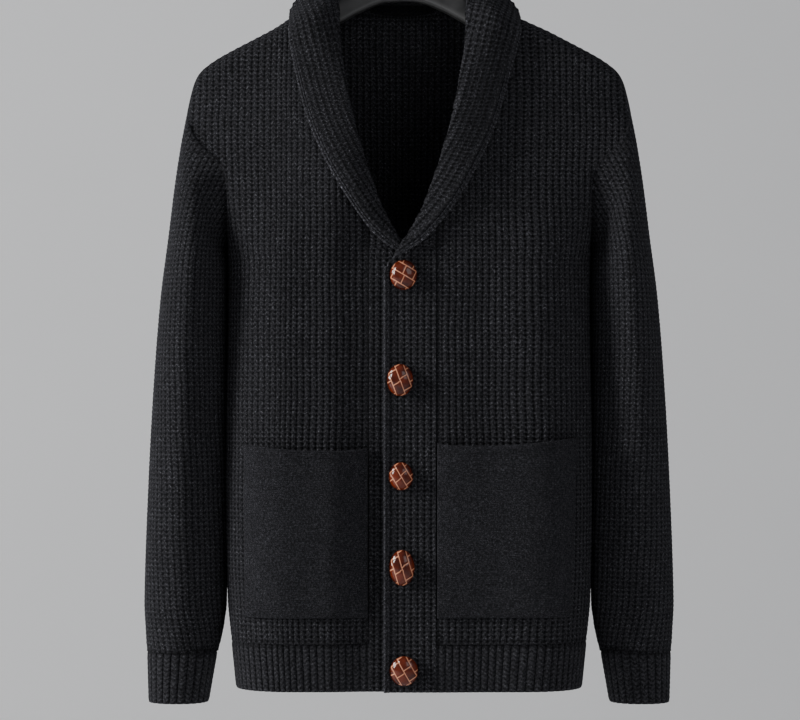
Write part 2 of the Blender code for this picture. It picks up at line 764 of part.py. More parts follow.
# --- buttons ----------------------------------------------------------------------------------
BUTTONS = columns(
    "x z width height",
    (
        (0.9, -392.1, 26.3, 29.2),
        (-2.5, -494.5, 25.4, 31.2),
        (-1.5, -588.1, 23.4, 27.3),
        (-0.5, -677.3, 24.4, 35.1),
        (1.4, -778.2, 27.3, 29.2),
    ),
)
BUTTON_PROFILE = columns(  # radius as a share of the rim's, and height above the back
    "share height",
    ((0, 8.6), (0.36, 8.1), (0.7, 6.3), (0.92, 3.6), (1, 1.6), (0.95, 0.3), (0.8, 0)),
)
BUTTON_SIDES = 18
CLEAR = 0.3  # between a button and the cloth before and behind it
SHANK_RADIUS = 1.7
HOLE_LENGTH, HOLE_WIDTH, HOLE_CUT = 18.0, 4.4, 14.0


def band_face(side, x, z):
    return -centre_depth(side, x, z)


def make_button(index, leather):
    """A domed shank button: half its outline turned about the shank, then drawn out to an oval."""
    name = f"button_{index + 1}"
    x, z, width, height = (float(BUTTONS[key][index]) for key in ("x", "z", "width", "height"))
    back = band_face(1, x, z) - WELT_HEIGHT - CLEAR
    shank = band_face(-1, x, z) - CLEAR - back
    mesh = bmesh.new()
    rim = width / 2
    turned = [(rim * s, h) for s, h in zip(BUTTON_PROFILE["share"], BUTTON_PROFILE["height"])]
    turned += [(SHANK_RADIUS, 0), (SHANK_RADIUS, -shank), (0, -shank)]
    corners = [mesh.verts.new((radius * MM, 0, tall * MM)) for radius, tall in turned]
    for a, b in zip(corners, corners[1:]):
        mesh.edges.new((a, b))
    bmesh.ops.spin(
        mesh,
        geom=mesh.verts[:] + mesh.edges[:],
        axis=(0, 0, 1),
        cent=(0, 0, 0),
        steps=BUTTON_SIDES,
        angle=2 * math.pi,
        use_merge=True,
    )
    bmesh.ops.remove_doubles(mesh, verts=mesh.verts, dist=0.00001)
    for corner in mesh.verts:
        if math.hypot(corner.co.x, corner.co.y) > 1.5 * SHANK_RADIUS * MM:
            corner.co.y *= height / width
    thing = finished(name, mesh, leather)
    lean = (band_face(1, x, z + height / 2) - band_face(1, x, z - height / 2)) / height
    thing.rotation_euler = (math.radians(90) - math.atan(lean), 0, 0)
    thing.location = (x * MM, back * MM, z * MM)


def cut(thing, cutter):
    """Takes a hidden cutter's shape out of a piece."""
    boolean = thing.modifiers.new("hole", "BOOLEAN")
    boolean.operation = "DIFFERENCE"
    boolean.object = cutter


def cutter_box(name, middle, size):
    bpy.ops.mesh.primitive_cube_add(size=1, location=[c * MM for c in middle])
    box = bpy.context.object
    box.name = name
    box.scale = [c * MM for c in size]
    return hidden(box)


def hidden(cutter):
    for owner in cutter.users_collection:
        owner.objects.unlink(cutter)
    CUTTERS.objects.link(cutter)
    cutter.hide_render = True
    cutter.display_type = "WIRE"
    return cutter


def cut_buttonholes(band):
    for index in range(len(BUTTONS["x"])):
        x, z = BUTTONS["x"][index], BUTTONS["z"][index]
        middle = (x, band_face(1, x, z), z)
        size = (HOLE_LENGTH, HOLE_CUT, HOLE_WIDTH)
        box = cutter_box(f"buttonhole_{index + 1}", middle, size)
        cut(band, box)


# --- the hanger -------------------------------------------------------------------------------
HANGER = columns(
    "x top foot half_depth",
    (
        (0, -80, -117, 7),
        (20, -87, -119, 7),
        (42, -98, -128, 7.5),
        (62, -109.5, -139, 9),
        (82, -121.5, -150, 11),
        (99, -131.8, -159, 12.5),
        (116, -141.5, -168, 13.5),
        (150, -158.3, -184, 14),
        (183, -175, -198, 14),
        (198, -184.8, -206, 13),
        (205, -193, -209, 10),
        (208, -199, -208, 5),
    ),
)
HANGER_SIDES = 12
HOOK_WIRE = 2.2  # radius of the wire
HOOK_INSIDE = 20.0  # radius inside the bend
HOOK_SOCKET = 16.0
HOOK_PLAY = 0.3

# The hook's path up from its socket to where the round begins, below the middle of that round.
HOOK_NECK = columns("x below", ((0, 44.2), (0, 36.2), (3.2, 28.2), (8.5, 21.6)))
ROUND_FROM, ROUND_TO, ROUND_STEP = -52, 205, 16  # degrees, from the viewer's right


def hanger_ring(x, side):
    top, foot = along(HANGER, "x", "top", x), along(HANGER, "x", "foot", x)
    half = along(HANGER, "x", "half_depth", x)
    ring = []
    for k in range(HANGER_SIDES):
        turn = 2 * math.pi * k / HANGER_SIDES
        z = (top + foot) / 2 + (top - foot) / 2 * math.cos(turn)
        ring.append(placed((side * x, half * math.sin(turn), z)))
    return ring


def make_hanger(plastic, steel):
    """Two arms in one moulding, with a socket in the middle for the hook's stem."""
    stations = [(x, -1) for x in HANGER["x"][:0:-1]] + [(x, 1) for x in HANGER["x"]]
    mesh = bmesh.new()
    rings = []
    for x, side in stations:
        rings.append([mesh.verts.new([c * MM for c in p]) for p in hanger_ring(float(x), side)])
    for ring, following in zip(rings, rings[1:]):
        for k in range(HANGER_SIDES):
            n = (k + 1) % HANGER_SIDES
            mesh.faces.new((ring[k], ring[n], following[n], following[k]))
    mesh.faces.new(rings[0])
    mesh.faces.new(rings[-1])
    body = finished("hanger_body", mesh, plastic)
    top = float(HANGER["top"][0])
    bpy.ops.mesh.primitive_cylinder_add(
        vertices=16,
        radius=(HOOK_WIRE + HOOK_PLAY) * MM,
        depth=2 * HOOK_SOCKET * MM,
        location=(0, 0, top * MM),
    )
    socket = bpy.context.object
    socket.name = "hook_socket"
    cut(body, hidden(socket))
    make_hook(steel, top - HOOK_SOCKET + HOOK_PLAY)


def make_hook(steel, foot):
    """A wire hook: a stem, a bend to the right, and three quarters of a turn over the rail."""
    radius = HOOK_INSIDE + HOOK_WIRE
    centre_z = -HOOK_INSIDE
    path = [(0, foot), (0, foot + HOOK_SOCKET)]
    path += [(x, centre_z - below) for x, below in zip(HOOK_NECK["x"], HOOK_NECK["below"])]
    for degrees in range(ROUND_FROM, ROUND_TO, ROUND_STEP):
        turn = math.radians(degrees)
        path.append((radius * math.cos(turn), centre_z + radius * math.sin(turn)))
    curve = bpy.data.curves.new("hanger_hook", "CURVE")
    curve.dimensions = "3D"
    curve.bevel_depth = HOOK_WIRE * MM
    curve.bevel_resolution = 2
    curve.use_fill_caps = True
    spline = curve.splines.new("POLY")
    spline.points.add(len(path) - 1)
    for point, (x, z) in zip(spline.points, path):
        point.co = (x * MM, 0, z * MM, 1)
    curve.materials.append(steel)
    PARTS.objects.link(bpy.data.objects.new("hanger_hook", curve))


# --- the whole --------------------------------------------------------------------------------
for old in list(bpy.data.objects):
    bpy.data.objects.remove(old)

PARTS = bpy.data.collections.new("shawl_collar_cardigan_on_a_hanger")
CUTTERS = bpy.data.collections.new("cutters")
bpy.context.scene.collection.children.link(PARTS)
bpy.context.scene.collection.children.link(CUTTERS)

WAFFLE = surface("waffle_knit", (0.017, 0.017, 0.019), 0.9)
RIB = surface("rib_knit", (0.016, 0.016, 0.018), 0.9)
FELT = surface("fine_knit", (0.019, 0.019, 0.021), 0.95)
LEATHER = surface("button_leather", (0.14, 0.03, 0.012), 0.25)
PLASTIC = surface("hanger_plastic", (0.03, 0.03, 0.032), 0.35)
STEEL = surface("hook_steel", (0.55, 0.55, 0.56), 0.25, 1.0)

make_panels(WAFFLE)
for side, end in ((-1, "left"), (1, "right")):
    make_sleeve(side, f"sleeve_{end}", WAFFLE)
    make_cuff(side, f"cuff_{end}", RIB)
make_hem(RIB)
make_band(-1, "band_left", WAFFLE)
cut_buttonholes(make_band(1, "band_right", WAFFLE))
make_collar(WAFFLE)
make_pocket(0, "pocket_left", FELT)
make_pocket(1, "pocket_right", FELT)
for number in range(len(BUTTONS["x"])):
    make_button(number, LEATHER)
make_hanger(PLASTIC, STEEL)
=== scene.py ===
# %% [markdown]
# # A shawl collar cardigan on a hanger
# This is a heavy dark cardigan in waffle knit. It is knitted in flat pieces, a back, two fronts, two
# sleeves and a long shawl collar, which are linked together, and it hangs on a wide-shoulder hanger.
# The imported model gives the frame: metres, X across, Y to the back, Z up, with the origin inside
# the crown of the hook. Everything below is placed in that frame.

# %% Load the frame
import json
import math

import bmesh
import bpy
import numpy as np
from mathutils import Matrix, Vector

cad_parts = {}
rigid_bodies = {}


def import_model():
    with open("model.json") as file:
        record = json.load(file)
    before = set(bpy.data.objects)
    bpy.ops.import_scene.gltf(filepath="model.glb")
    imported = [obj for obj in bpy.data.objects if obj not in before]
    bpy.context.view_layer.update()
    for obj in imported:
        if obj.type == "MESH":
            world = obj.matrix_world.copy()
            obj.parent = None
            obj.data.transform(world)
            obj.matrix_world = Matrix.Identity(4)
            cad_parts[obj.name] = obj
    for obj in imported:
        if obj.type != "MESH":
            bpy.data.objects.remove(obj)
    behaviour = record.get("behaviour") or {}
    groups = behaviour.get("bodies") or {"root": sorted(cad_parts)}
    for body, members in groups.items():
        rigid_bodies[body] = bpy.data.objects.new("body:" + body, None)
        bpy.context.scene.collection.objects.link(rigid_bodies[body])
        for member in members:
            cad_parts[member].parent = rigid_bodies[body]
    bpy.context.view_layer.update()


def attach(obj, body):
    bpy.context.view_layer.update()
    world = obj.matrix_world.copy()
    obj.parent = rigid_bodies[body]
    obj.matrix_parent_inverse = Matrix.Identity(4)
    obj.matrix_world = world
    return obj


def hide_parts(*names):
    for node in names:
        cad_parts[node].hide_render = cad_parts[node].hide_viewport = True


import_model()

# %% [markdown]
# ## Reading a curve from a short table
# A knitter works from a schematic: a few widths and depths at a few heights. The tables here do the
# same, in millimetres, and a smooth cubic runs between their rows. Reading a whole array at once
# with numpy keeps it quick, because the knit needs hundreds of thousands of points.

# %% Tables and smooth curves
MM = 0.001


def columns(names, rows):
    return dict(zip(names.split(), np.array(rows, float).T))


def along(table, key, name, at):
    xs, ys = table[key], table[name]
    at = np.clip(at, xs[0], xs[-1])
    i = np.clip(np.searchsorted(xs, at) - 1, 0, len(xs) - 2)
    span = xs[i + 1] - xs[i]
    before, after = np.maximum(i - 1, 0), np.minimum(i + 2, len(xs) - 1)
    slope_in = (ys[i + 1] - ys[before]) / (xs[i + 1] - xs[before]) * span
    slope_out = (ys[after] - ys[i]) / (xs[after] - xs[i]) * span
    t = (at - xs[i]) / span
    ends = ys[i] * (1 + 2 * t) * (1 - t) ** 2 + ys[i + 1] * t * t * (3 - 2 * t)
    return ends + slope_in * t * (1 - t) ** 2 - slope_out * t * t * (1 - t)


def smooth(t):
    t = np.clip(t, 0, 1)
    return t * t * (3 - 2 * t)


def between(a, b, t):
    return a + (b - a) * t


# %% [markdown]
# ## The schematic of the body
# The shoulder line runs from the neck out to the armhole seam. The torso table gives the half width
# and the depth below the underarm. The armhole is a closed seam in space, so its table has x, y and
# z by a row number that climbs from the underarm (0) to the shoulder point (10). The neck edge uses
# the same rows.

# %% Sizes of the body
RIDGE = columns("x z", ((0, -66), (82, -112), (116, -134), (150, -152), (186, -171), (200, -180),
                        (209, -188), (214.5, -198), (218.5, -212), (222, -229)))
TORSO = columns("z half_width front back",
                ((-800, 172.5, 69, 62), (-785, 174, 70, 63), (-752.8, 177, 72, 66),
                 (-700, 179, 74, 69), (-640, 180, 76, 70), (-540, 180, 77, 70),
                 (-440, 178.5, 76, 70), (-365, 178.5, 75, 70)))
ARMHOLE = columns("row x y z",
                  ((0, 180, 0, -365), (1, 180, 20, -352), (2, 180, 34, -332), (3, 180, 43, -310),
                   (4, 182, 46, -291), (5, 190, 45, -278), (6, 201, 41, -268), (7, 211, 35, -257),
                   (8, 218, 26, -243), (9, 221, 14, -234), (10, 222, 0, -229)))
NECK = columns("row seam_x seam_z roll_x roll_y roll_z edge_x edge_z turn full",
               ((0, 32.6, -365, -3, -73.5, -363, -9, -375, 0, 0),
                (1, 33, -345, 8, -73, -347, 19, -358, 0, 0),
                (2, 36.5, -322, 20, -71.5, -324, 42, -333, 0, 1),
                (3, 41.5, -298, 29.5, -70, -299, 59, -308, 0, 1.5),
                (4, 48, -273, 37.5, -65, -273, 74, -280, 0, 1.5),
                (5, 55.5, -248, 45, -57, -247, 87, -251, 0, 1.5),
                (6, 63, -222, 51.5, -47.5, -220, 96.5, -222, 0, 1.5),
                (7, 70, -195, 56.5, -38, -193, 104, -194, 5, 2),
                (8, 75.5, -168, 60.5, -29.8, -162, 111, -168, 15, 5),
                (9, 79.5, -140, 62.5, -21, -129, 115, -149, 32, 9),
                (10, 82, -112, 64, -8, -95, 115.5, -131, 90, 9)))
SINK = columns("z depth", ((-800, 6), (-700, 9), (-560, 8), (-400, 5), (-375, 8), (-345, 8), (-320, 6),
                           (-250, 0), (-100, 0)))
HEM_Z, HEM_SEAM_Z, UNDERARM_Z, BACK_NECK_Z = -800.0, -752.8, -365.0, -130.0
NECK_HALF, SHOULDER_HALF, BAND_SEAM_X, BAND_EDGE_X = 82.0, 222.0, 32.6, -18.5
RIDGE_HALF, RIDGE_DROP, CHEST_DROP = 22.0, 15.0, 235.0
CHEST, SIDE_HALF, SIDE_RAMP = {-1: 75.0, 1: 70.0}, 180.0, 12.0
SECTION_POWER, LOWER_POWER = 3.8, 3.2
LOWER_Z, DEPTH_RAMP, POWER_RAMP = -400.0, 70.0, 100.0  # the torso table rules below LOWER_Z
EASE_STEPS = (-16, -8, 0, 8, 16)  # heights over which the armhole's depth is averaged
CLOTH = 3.0
print("it hangs", round(2 * SIDE_HALF), "mm wide and", round(sum(CHEST.values())), "mm deep")

# %% [markdown]
# ## The surface of the body
# Seen from above, the hanging body is a rounded box, so a superellipse makes its section. Near the
# shoulder the cloth bends over the hanger in a quarter of an ellipse. The upper button band stands
# a little proud, and the covered one sinks by the same table as in the solids. On both sides of the
# buttoned middle the fronts swell forward, as cloth does beside a closing that holds it in.

# %% Depth of the cloth in front and behind
SHIFT, SHIFT_FROM, SHIFT_RAMP = 6.5, 98.0, 44.0
SWELL, SWELL_X, SWELL_WIDE, SWELL_TOP_Z, SWELL_RAMP = 10.0, 146.0, 46.0, -300.0, 110.0
LAP_PROUD, LAP_RAMP, SINK_HALF, SINK_RAMP = 2.5, 66.0, 35.0, 40.0


def placed(points):
    """The sides of the body hang a little to the right of the neck."""
    points = np.array(points, float)
    points[..., 0] += SHIFT * smooth((np.abs(points[..., 0]) - SHIFT_FROM) / SHIFT_RAMP)
    return points


def ridge(x):
    return along(RIDGE, "x", "z", np.abs(x))


def drop_depth(drop, chest):
    rounded = RIDGE_HALF * np.sqrt(1 - (1 - np.clip(drop / RIDGE_DROP, 0, 1)) ** 2)
    return rounded + (chest - RIDGE_HALF) * smooth(drop / CHEST_DROP)


def lap(side, x, z):
    """The top front is proud of the covered one, and both stand out beside the buttoned middle."""
    x = np.abs(x)
    swell = SWELL * np.exp(-(((x - SWELL_X) / SWELL_WIDE) ** 2))
    swell = swell * smooth((SWELL_TOP_Z - z) / SWELL_RAMP)
    if side > 0:
        return swell + LAP_PROUD * (1 - smooth((x - BAND_SEAM_X) / LAP_RAMP))
    return swell - along(SINK, "z", "depth", z) * (1 - smooth((x - SINK_HALF) / SINK_RAMP))


ROWS_FINE = np.linspace(0, 10, 401)
ARM_FINE = {k: along(ARMHOLE, "row", k, ROWS_FINE) for k in "xyz"}


def side_line(z):
    """Where the section at each height ends: half width, and how deep the armhole seam lies there."""
    half = along(TORSO, "z", "half_width", z)
    half = half + (SIDE_HALF - half) * smooth((z - UNDERARM_Z + SIDE_RAMP) / SIDE_RAMP)
    above = z > UNDERARM_Z
    x = np.where(above, np.interp(z, ARM_FINE["z"], ARM_FINE["x"]), half)
    y = np.where(above, np.interp(z, ARM_FINE["z"], ARM_FINE["y"]), 0)
    return x, y


def body_depth(side, face, x, z):
    """Distance in front of (face -1) or behind (face 1) the side seams, always positive."""
    low = along(TORSO, "z", "front" if face < 0 else "back", z)
    high = drop_depth(ridge(x) - z, CHEST[face])
    depth = between(low, high, smooth((z - LOWER_Z) / DEPTH_RAMP))
    out_x, out_y = side_line(z)
    power = between(LOWER_POWER, SECTION_POWER, smooth((z - LOWER_Z) / POWER_RAMP))
    fall = (1 - np.clip(np.abs(x) / out_x, 0, 1) ** power) ** (1 / power)
    eased_y = np.mean([side_line(z + step)[1] for step in EASE_STEPS], axis=0)
    depth = depth * fall + out_y * (1 - fall) ** 2 + eased_y * fall * (1 - fall)
    return depth + lap(side, x, z) * fall if face < 0 else depth


print("front stands", round(float(body_depth(1, -1, 60.0, -500.0)), 1), "mm out at the waist")

# %% [markdown]
# ## Laying the knit over the body
# Waffle knit is a grid of upright wales and level courses, and the pieces are cut to shape across
# it. So each piece starts as a flat grid in knit coordinates, wales across and courses up. Going up
# past the shoulder's rounding, a course climbs over the bend by its true length. Where a grid line
# runs past the neck or the armhole it is pulled back to that seam, and the doubled points merge.

# %% Knit coordinates
WALE, COURSE = 6.5, 4.6  # width and height of one waffle cell
FAR = 1000.0  # further than any edge of the garment


def travelled(line):
    """How far along a line of points each one lies."""
    return np.concatenate([[0], np.cumsum(np.linalg.norm(np.diff(line, axis=0), axis=1))])


def picked(at, marks, values):
    """The columns of a table of values, each read at new marks."""
    return np.stack([np.interp(at, marks, column) for column in values.T], -1)


TURNS = np.linspace(0, math.pi / 2, 60)
BEND_DROP = RIDGE_DROP * (1 - np.cos(TURNS))
BEND_ARC = travelled(np.stack([BEND_DROP, RIDGE_HALF * np.sin(TURNS)], 1))
OVER = float(BEND_ARC[-1]) - RIDGE_DROP
DROPS = np.append(BEND_DROP, FAR)
ARCS = np.append(BEND_ARC, FAR + OVER)


def height_up(x, z):
    """How high up the cloth a point lies, counted round the bend of the shoulder."""
    return ridge(x) + OVER - np.interp(ridge(x) - z, DROPS, ARCS)


def level(x, up):
    """The height z of a point on the cloth, from how high up the cloth it lies."""
    return ridge(x) - np.interp(ridge(x) + OVER - up, ARCS, DROPS)


print("the shoulder bend adds", round(OVER, 1), "mm of cloth")


# %% The edges of a front and of the back
LOWER_EDGE = np.linspace(HEM_SEAM_Z, UNDERARM_Z - 1, 60)
TUCKED = 1.5  # the fronts run this far under the band's edge
LEVEL_Z, LEVEL_RAMP = -291.0, 62.0  # above this, wales are counted straight across
CROWDED = 2.4  # how closely fine points crowd towards the side, where the cloth turns


def outer_edge():
    """Up the side seam, round the armhole and along the shoulder: how high up, and how far out."""
    shoulder_x = np.linspace(SHOULDER_HALF, NECK_HALF, 160)[1:]
    arm_up = height_up(ARM_FINE["x"], ARM_FINE["z"])
    up = np.concatenate([LOWER_EDGE, arm_up, ridge(shoulder_x) + OVER])
    return up, np.concatenate([side_line(LOWER_EDGE)[0], ARM_FINE["x"], shoulder_x])


def inner_edge(face):
    """Up the band seam and the front neck, or up the centre back and round the back neck."""
    if face < 0:
        rows = np.linspace(0, 10, 200)
        x, z = (along(NECK, "row", k, rows) for k in ("seam_x", "seam_z"))
        start = BAND_SEAM_X - TUCKED
    else:
        x = np.linspace(0, NECK_HALF, 200)
        lift = ridge(NECK_HALF) - BACK_NECK_Z
        z = ridge(NECK_HALF) - lift * np.sqrt(1 - (x / NECK_HALF) ** 2)
        start = 0.0
    up = np.concatenate([LOWER_EDGE, height_up(x, z)])
    return up, np.concatenate([np.full(LOWER_EDGE.shape, start), x])


def course_line(side, face, up, wales, edges, girth):
    """Points of one course, at the given distances across the cloth, and those distances."""
    (in_up, in_x), (out_up, out_x) = edges
    x_in, x_out = float(np.interp(up, in_up, in_x)), float(np.interp(up, out_up, out_x))
    if up < UNDERARM_Z:
        x_out = float(side_line(up)[0])
    t = np.linspace(0, 1, 260)
    xs = x_in + (x_out - x_in) * (1 - (1 - t) ** CROWDED)
    zs = level(xs, up)
    ys = body_depth(side, face, xs, zs)
    along_it = travelled(np.stack([xs, ys], 1))
    count = xs + (along_it - (xs - x_in)) * (1 - smooth((up - LEVEL_Z) / LEVEL_RAMP))
    if up < UNDERARM_Z:
        count = count * girth / count[-1]
    k = np.clip(wales, count[0], count[-1])
    return picked(k, count, np.stack([xs, ys, zs], 1)), k, k - count[0], count[-1] - k


# %% [markdown]
# ## Waffle relief
# A waffle cell is a broad upright wale beside a narrow gap, and bars cross the gap, so small dark
# pits are left in it. Three grid lines to a cell each way are enough to carry that as real relief:
# two stand high on the wale and one lies in the gap. The yarn's own twist is left to the material.

# %% Waffle relief and the cloth maker
RELIEF, RELIEF_LEVEL = 1.7, 0.8  # height of the waffle, and the share of it below the sheet
SEAM_DIP, SEAM_WIDTH = 1.1, 6.5  # the cloth sinks in a furrow on both sides of a seam
LINKED_SEAM = 0.35  # a seam linked stitch by stitch pulls this much as hard


def waffle(wale, course):
    """1 on top of a wale, about half on a bar, 0 in a pit."""
    from_gap = np.abs((wale / WALE + 0.5) % 1 - 0.5)
    body = smooth(from_gap / 0.33)
    bar = 0.5 - 0.5 * np.cos(2 * math.pi * course / COURSE)
    return body * (0.74 + 0.26 * bar) + (1 - body) * 0.5 * bar


def wander(wale, course):
    """Knitting never runs quite straight: a slow drift of under a millimetre."""
    return 0.5 * np.sin(course / 31 + wale / 47) + 0.35 * np.sin(course / 13.7 - wale / 29 + 1.3)


def waffle_high(uv):
    """How far the waffle stands off its sheet, in mm."""
    return (waffle(uv[..., 0], uv[..., 1]) - RELIEF_LEVEL) * RELIEF


def waffle_lift(uv, gap, pull):
    """The same with a furrow beside the seams; and relief, a painted shade that darkens the furrow."""
    near = 1 - smooth(gap / SEAM_WIDTH)
    furrow = np.sin(math.pi * np.clip(gap / SEAM_WIDTH, 0, 1)) * pull
    return waffle_high(uv) * (1 - near) - SEAM_DIP * furrow, 1 - 0.6 * near * pull


def linked(name, data):
    """A new object in the scene."""
    item = bpy.data.objects.new(name, data)
    bpy.context.scene.collection.objects.link(item)
    return item


def cloth(name, node, finish, points, uv, lift, relief, cells=0.0, turned=False, thick=0.0):
    """A grid laid over points in mm. Its UV map is in metres of knit, and the finish reads two
    attributes: relief, a painted shade, dark at 0 in seams and grooves, and cells, 1 where the
    waffle is."""
    rows, cols = points.shape[:2]
    mesh = bpy.data.meshes.new(name)
    sheet = bmesh.new()
    bmesh.ops.create_grid(sheet, x_segments=cols - 1, y_segments=rows - 1, size=1)
    if turned:
        bmesh.ops.reverse_faces(sheet, faces=sheet.faces)
    sheet.to_mesh(mesh)
    mesh.vertices.foreach_set("co", (placed(points) * MM).astype(np.float32).ravel())
    corner = np.empty(len(mesh.loops), np.int32)
    mesh.loops.foreach_get("vertex_index", corner)
    knit_map = mesh.uv_layers.new(name="UVMap")
    knit_map.data.foreach_set("uv", (uv.reshape(-1, 2)[corner] * MM).astype(np.float32).ravel())
    for key, values in (("relief", relief), ("cells", cells), ("lift", lift)):
        spots = np.broadcast_to(values, (rows, cols)).astype(np.float32).ravel()
        mesh.attributes.new(key, "FLOAT", "POINT").data.foreach_set("value", spots)
    sheet.clear()
    sheet.from_mesh(mesh)
    bmesh.ops.remove_doubles(sheet, verts=sheet.verts, dist=2e-6)
    height = sheet.verts.layers.float["lift"]
    sheet.normal_update()
    for spot, normal in [(spot, spot.normal.copy()) for spot in sheet.verts]:
        spot.co += normal * (spot[height] * MM)
    sheet.verts.layers.float.remove(height)
    sheet.to_mesh(mesh)
    sheet.free()
    mesh.shade_smooth()
    piece = linked(name, mesh)
    if thick:
        wall = piece.modifiers.new("wall", "SOLIDIFY")
        wall.thickness = thick * MM
        wall.offset = -1
    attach(piece, "root")
    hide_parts(node)
    print(name, len(mesh.polygons), "faces")
    return piece


ACROSS = np.array([-1.0, 1.0, 1.0])


def both_halves(points, uv, lift, relief, flip=ACROSS):
    """Half a grid, completed by its mirror image across the first column."""
    halves = (points, flip), (uv, ACROSS[:2]), (lift, 1.0), (relief, 1.0)
    return [np.concatenate([(half * sign)[:, :0:-1], half], axis=1) for half, sign in halves]


def both_sides(part, ending, finish, grid, turned=-1, **more):
    """The left piece and the right one. Every grid is laid on the right, and mirrored for the left.
    A mirror image faces the other way, so the faces of one side are turned."""
    for side, hand in ((-1, "left"), (1, "right")):
        node = f"{part}_{hand}"
        points, *rest = grid(side)
        points = points if side > 0 else points * ACROSS
        cloth(node + ending, node, finish, points, *rest, turned=side == turned, **more)


# %% [markdown]
# ## The fronts and the back
# Each is a single sheet, because all its edges are sewn into something thicker and none shows. Near
# a seam the cloth dips, as it does where two pieces are linked together.

# %% Make the body pieces
STEADY = 20.0  # the knit runs straight this near a seam
SIDE_SEAM_X, SIDE_SEAM_RAMP, SIDE_SEAM_FOOT, SIDE_SEAM_HIGH = 170.0, 10.0, 40.0, 2.0


def under_arm(points):
    """0 above the underarm, 1 a little below it."""
    return smooth((UNDERARM_Z + 4 - points[..., 2]) / 14)


def body_half(side, face):
    edges = inner_edge(face), outer_edge()
    top = float(edges[1][0][-1])
    ups = np.append(np.arange(HEM_SEAM_Z, top, COURSE / 3), top)
    _, start, _, reach = course_line(side, face, UNDERARM_Z, np.zeros(1), edges, 0)
    girth = float(start[0] + reach[0])
    first = math.floor(edges[0][1][0] / WALE) * WALE
    wales = np.arange(first, girth + WALE, WALE / 3)
    points, uv, gap, pull = [], [], [], []
    for up in ups:
        drift = wander(wales, up) * smooth((wales - first) / STEADY)
        row, k, from_in, from_out = course_line(side, face, float(up), wales + drift, edges, girth)
        if face > 0 and up < BACK_NECK_Z:
            from_in = from_in + FAR
        points.append(row * np.array([1, face, 1]))
        uv.append(np.stack([k - drift, np.full(k.shape, up)], 1))
        gap.append(np.minimum(np.minimum(from_in, from_out), up - HEM_SEAM_Z))
        pull.append(np.where(from_in < SEAM_WIDTH, 1.0, LINKED_SEAM))
    uv, points = np.array(uv), np.array(points)
    lift, relief = waffle_lift(uv, np.array(gap), np.array(pull))
    side_seam = smooth((points[..., 0] - SIDE_SEAM_X) / SIDE_SEAM_RAMP) * under_arm(points)
    side_seam = side_seam * smooth((points[..., 2] - HEM_SEAM_Z) / SIDE_SEAM_FOOT)
    return points, uv, lift + SIDE_SEAM_HIGH * side_seam, relief


both_sides("front", "_knit", "waffle_knit", lambda side: body_half(side, -1), cells=1.0)
cloth("back_knit", "back", "waffle_knit", *both_halves(*body_half(0, 1)), 1.0, turned=True)

# %% [markdown]
# ## The sleeves
# A sleeve is a tube that narrows to the cuff by losing wales along the seam under the arm, so the
# wales are counted from its outer line both ways and the grid is pulled back to that seam. Its head
# follows the armhole. The height of each point is solved by halving, because near the head the
# tube's rings stand at a slant while the courses stay level.

# %% Sizes and sections of a sleeve
SLEEVE = columns("z inner outer depth",
                 ((-816, 200, 260.5, 31), (-765, 191, 262, 36), (-745, 187, 263, 39),
                  (-715, 183.5, 264.3, 43), (-615, 182.2, 261, 51.5), (-515, 182.2, 255.8, 60),
                  (-415, 182.2, 248, 68.5), (-350, 182.2, 239.6, 71), (-300, 182.2, 233.5, 65),
                  (-260, 182.2, 227.5, 55), (-229, 182.2, 222, 47)))
CUFF_Z, CUFF_SEAM_Z, HEAD_Z = -816.0, -765.0, -229.0
SLEEVE_POWER, SLEEVE_SLANT, SLEEVE_SLANT_ENDS, SLEEVE_HEAD = 2.2, 136.0, 260.0, 30.0
SLEEVE_FALLS_BACK, FALLS_BACK_SHARE = 0.2, 0.6  # the inner side lies this much further back
LONGEST, HALVINGS, FINE_TURNS = 600.0, 26, 200

BEHIND = np.array([1.0, -1.0, 1.0])
ROWS_DOWN = ROWS_FINE[::-1]
SEAM = np.stack([along(ARMHOLE, "row", k, ROWS_DOWN) for k in "xyz"], 1) * BEHIND
SEAM_TURN = travelled(SEAM) / travelled(SEAM)[-1] * math.pi


def squared(wave, power):
    """A sine or cosine drawn out to a power, which makes a circle a superellipse."""
    return np.sign(wave) * np.abs(wave) ** power


def sleeve_point(drop, turn):
    """A point of the sleeve's front half: how far down its outer side, and how far round."""
    seam = picked(turn, SEAM_TURN, SEAM)
    high = HEAD_Z - drop
    power = 2 / SLEEVE_POWER
    share = (squared(np.cos(turn), power) + 1) / 2
    x = between(along(SLEEVE, "z", "inner", high), along(SLEEVE, "z", "outer", high), share)
    falls_back = 1 - SLEEVE_FALLS_BACK * (1 - smooth(share / FALLS_BACK_SHARE))
    y = -along(SLEEVE, "z", "depth", high) * np.abs(np.sin(turn)) ** power * falls_back
    slant = SLEEVE_SLANT * np.clip(1 - drop / SLEEVE_SLANT_ENDS, 0, 1) ** 1.5
    ring = np.stack([x, y, high - slant * (1 - share)], -1)
    return between(seam, ring, smooth(drop / SLEEVE_HEAD)[..., None])


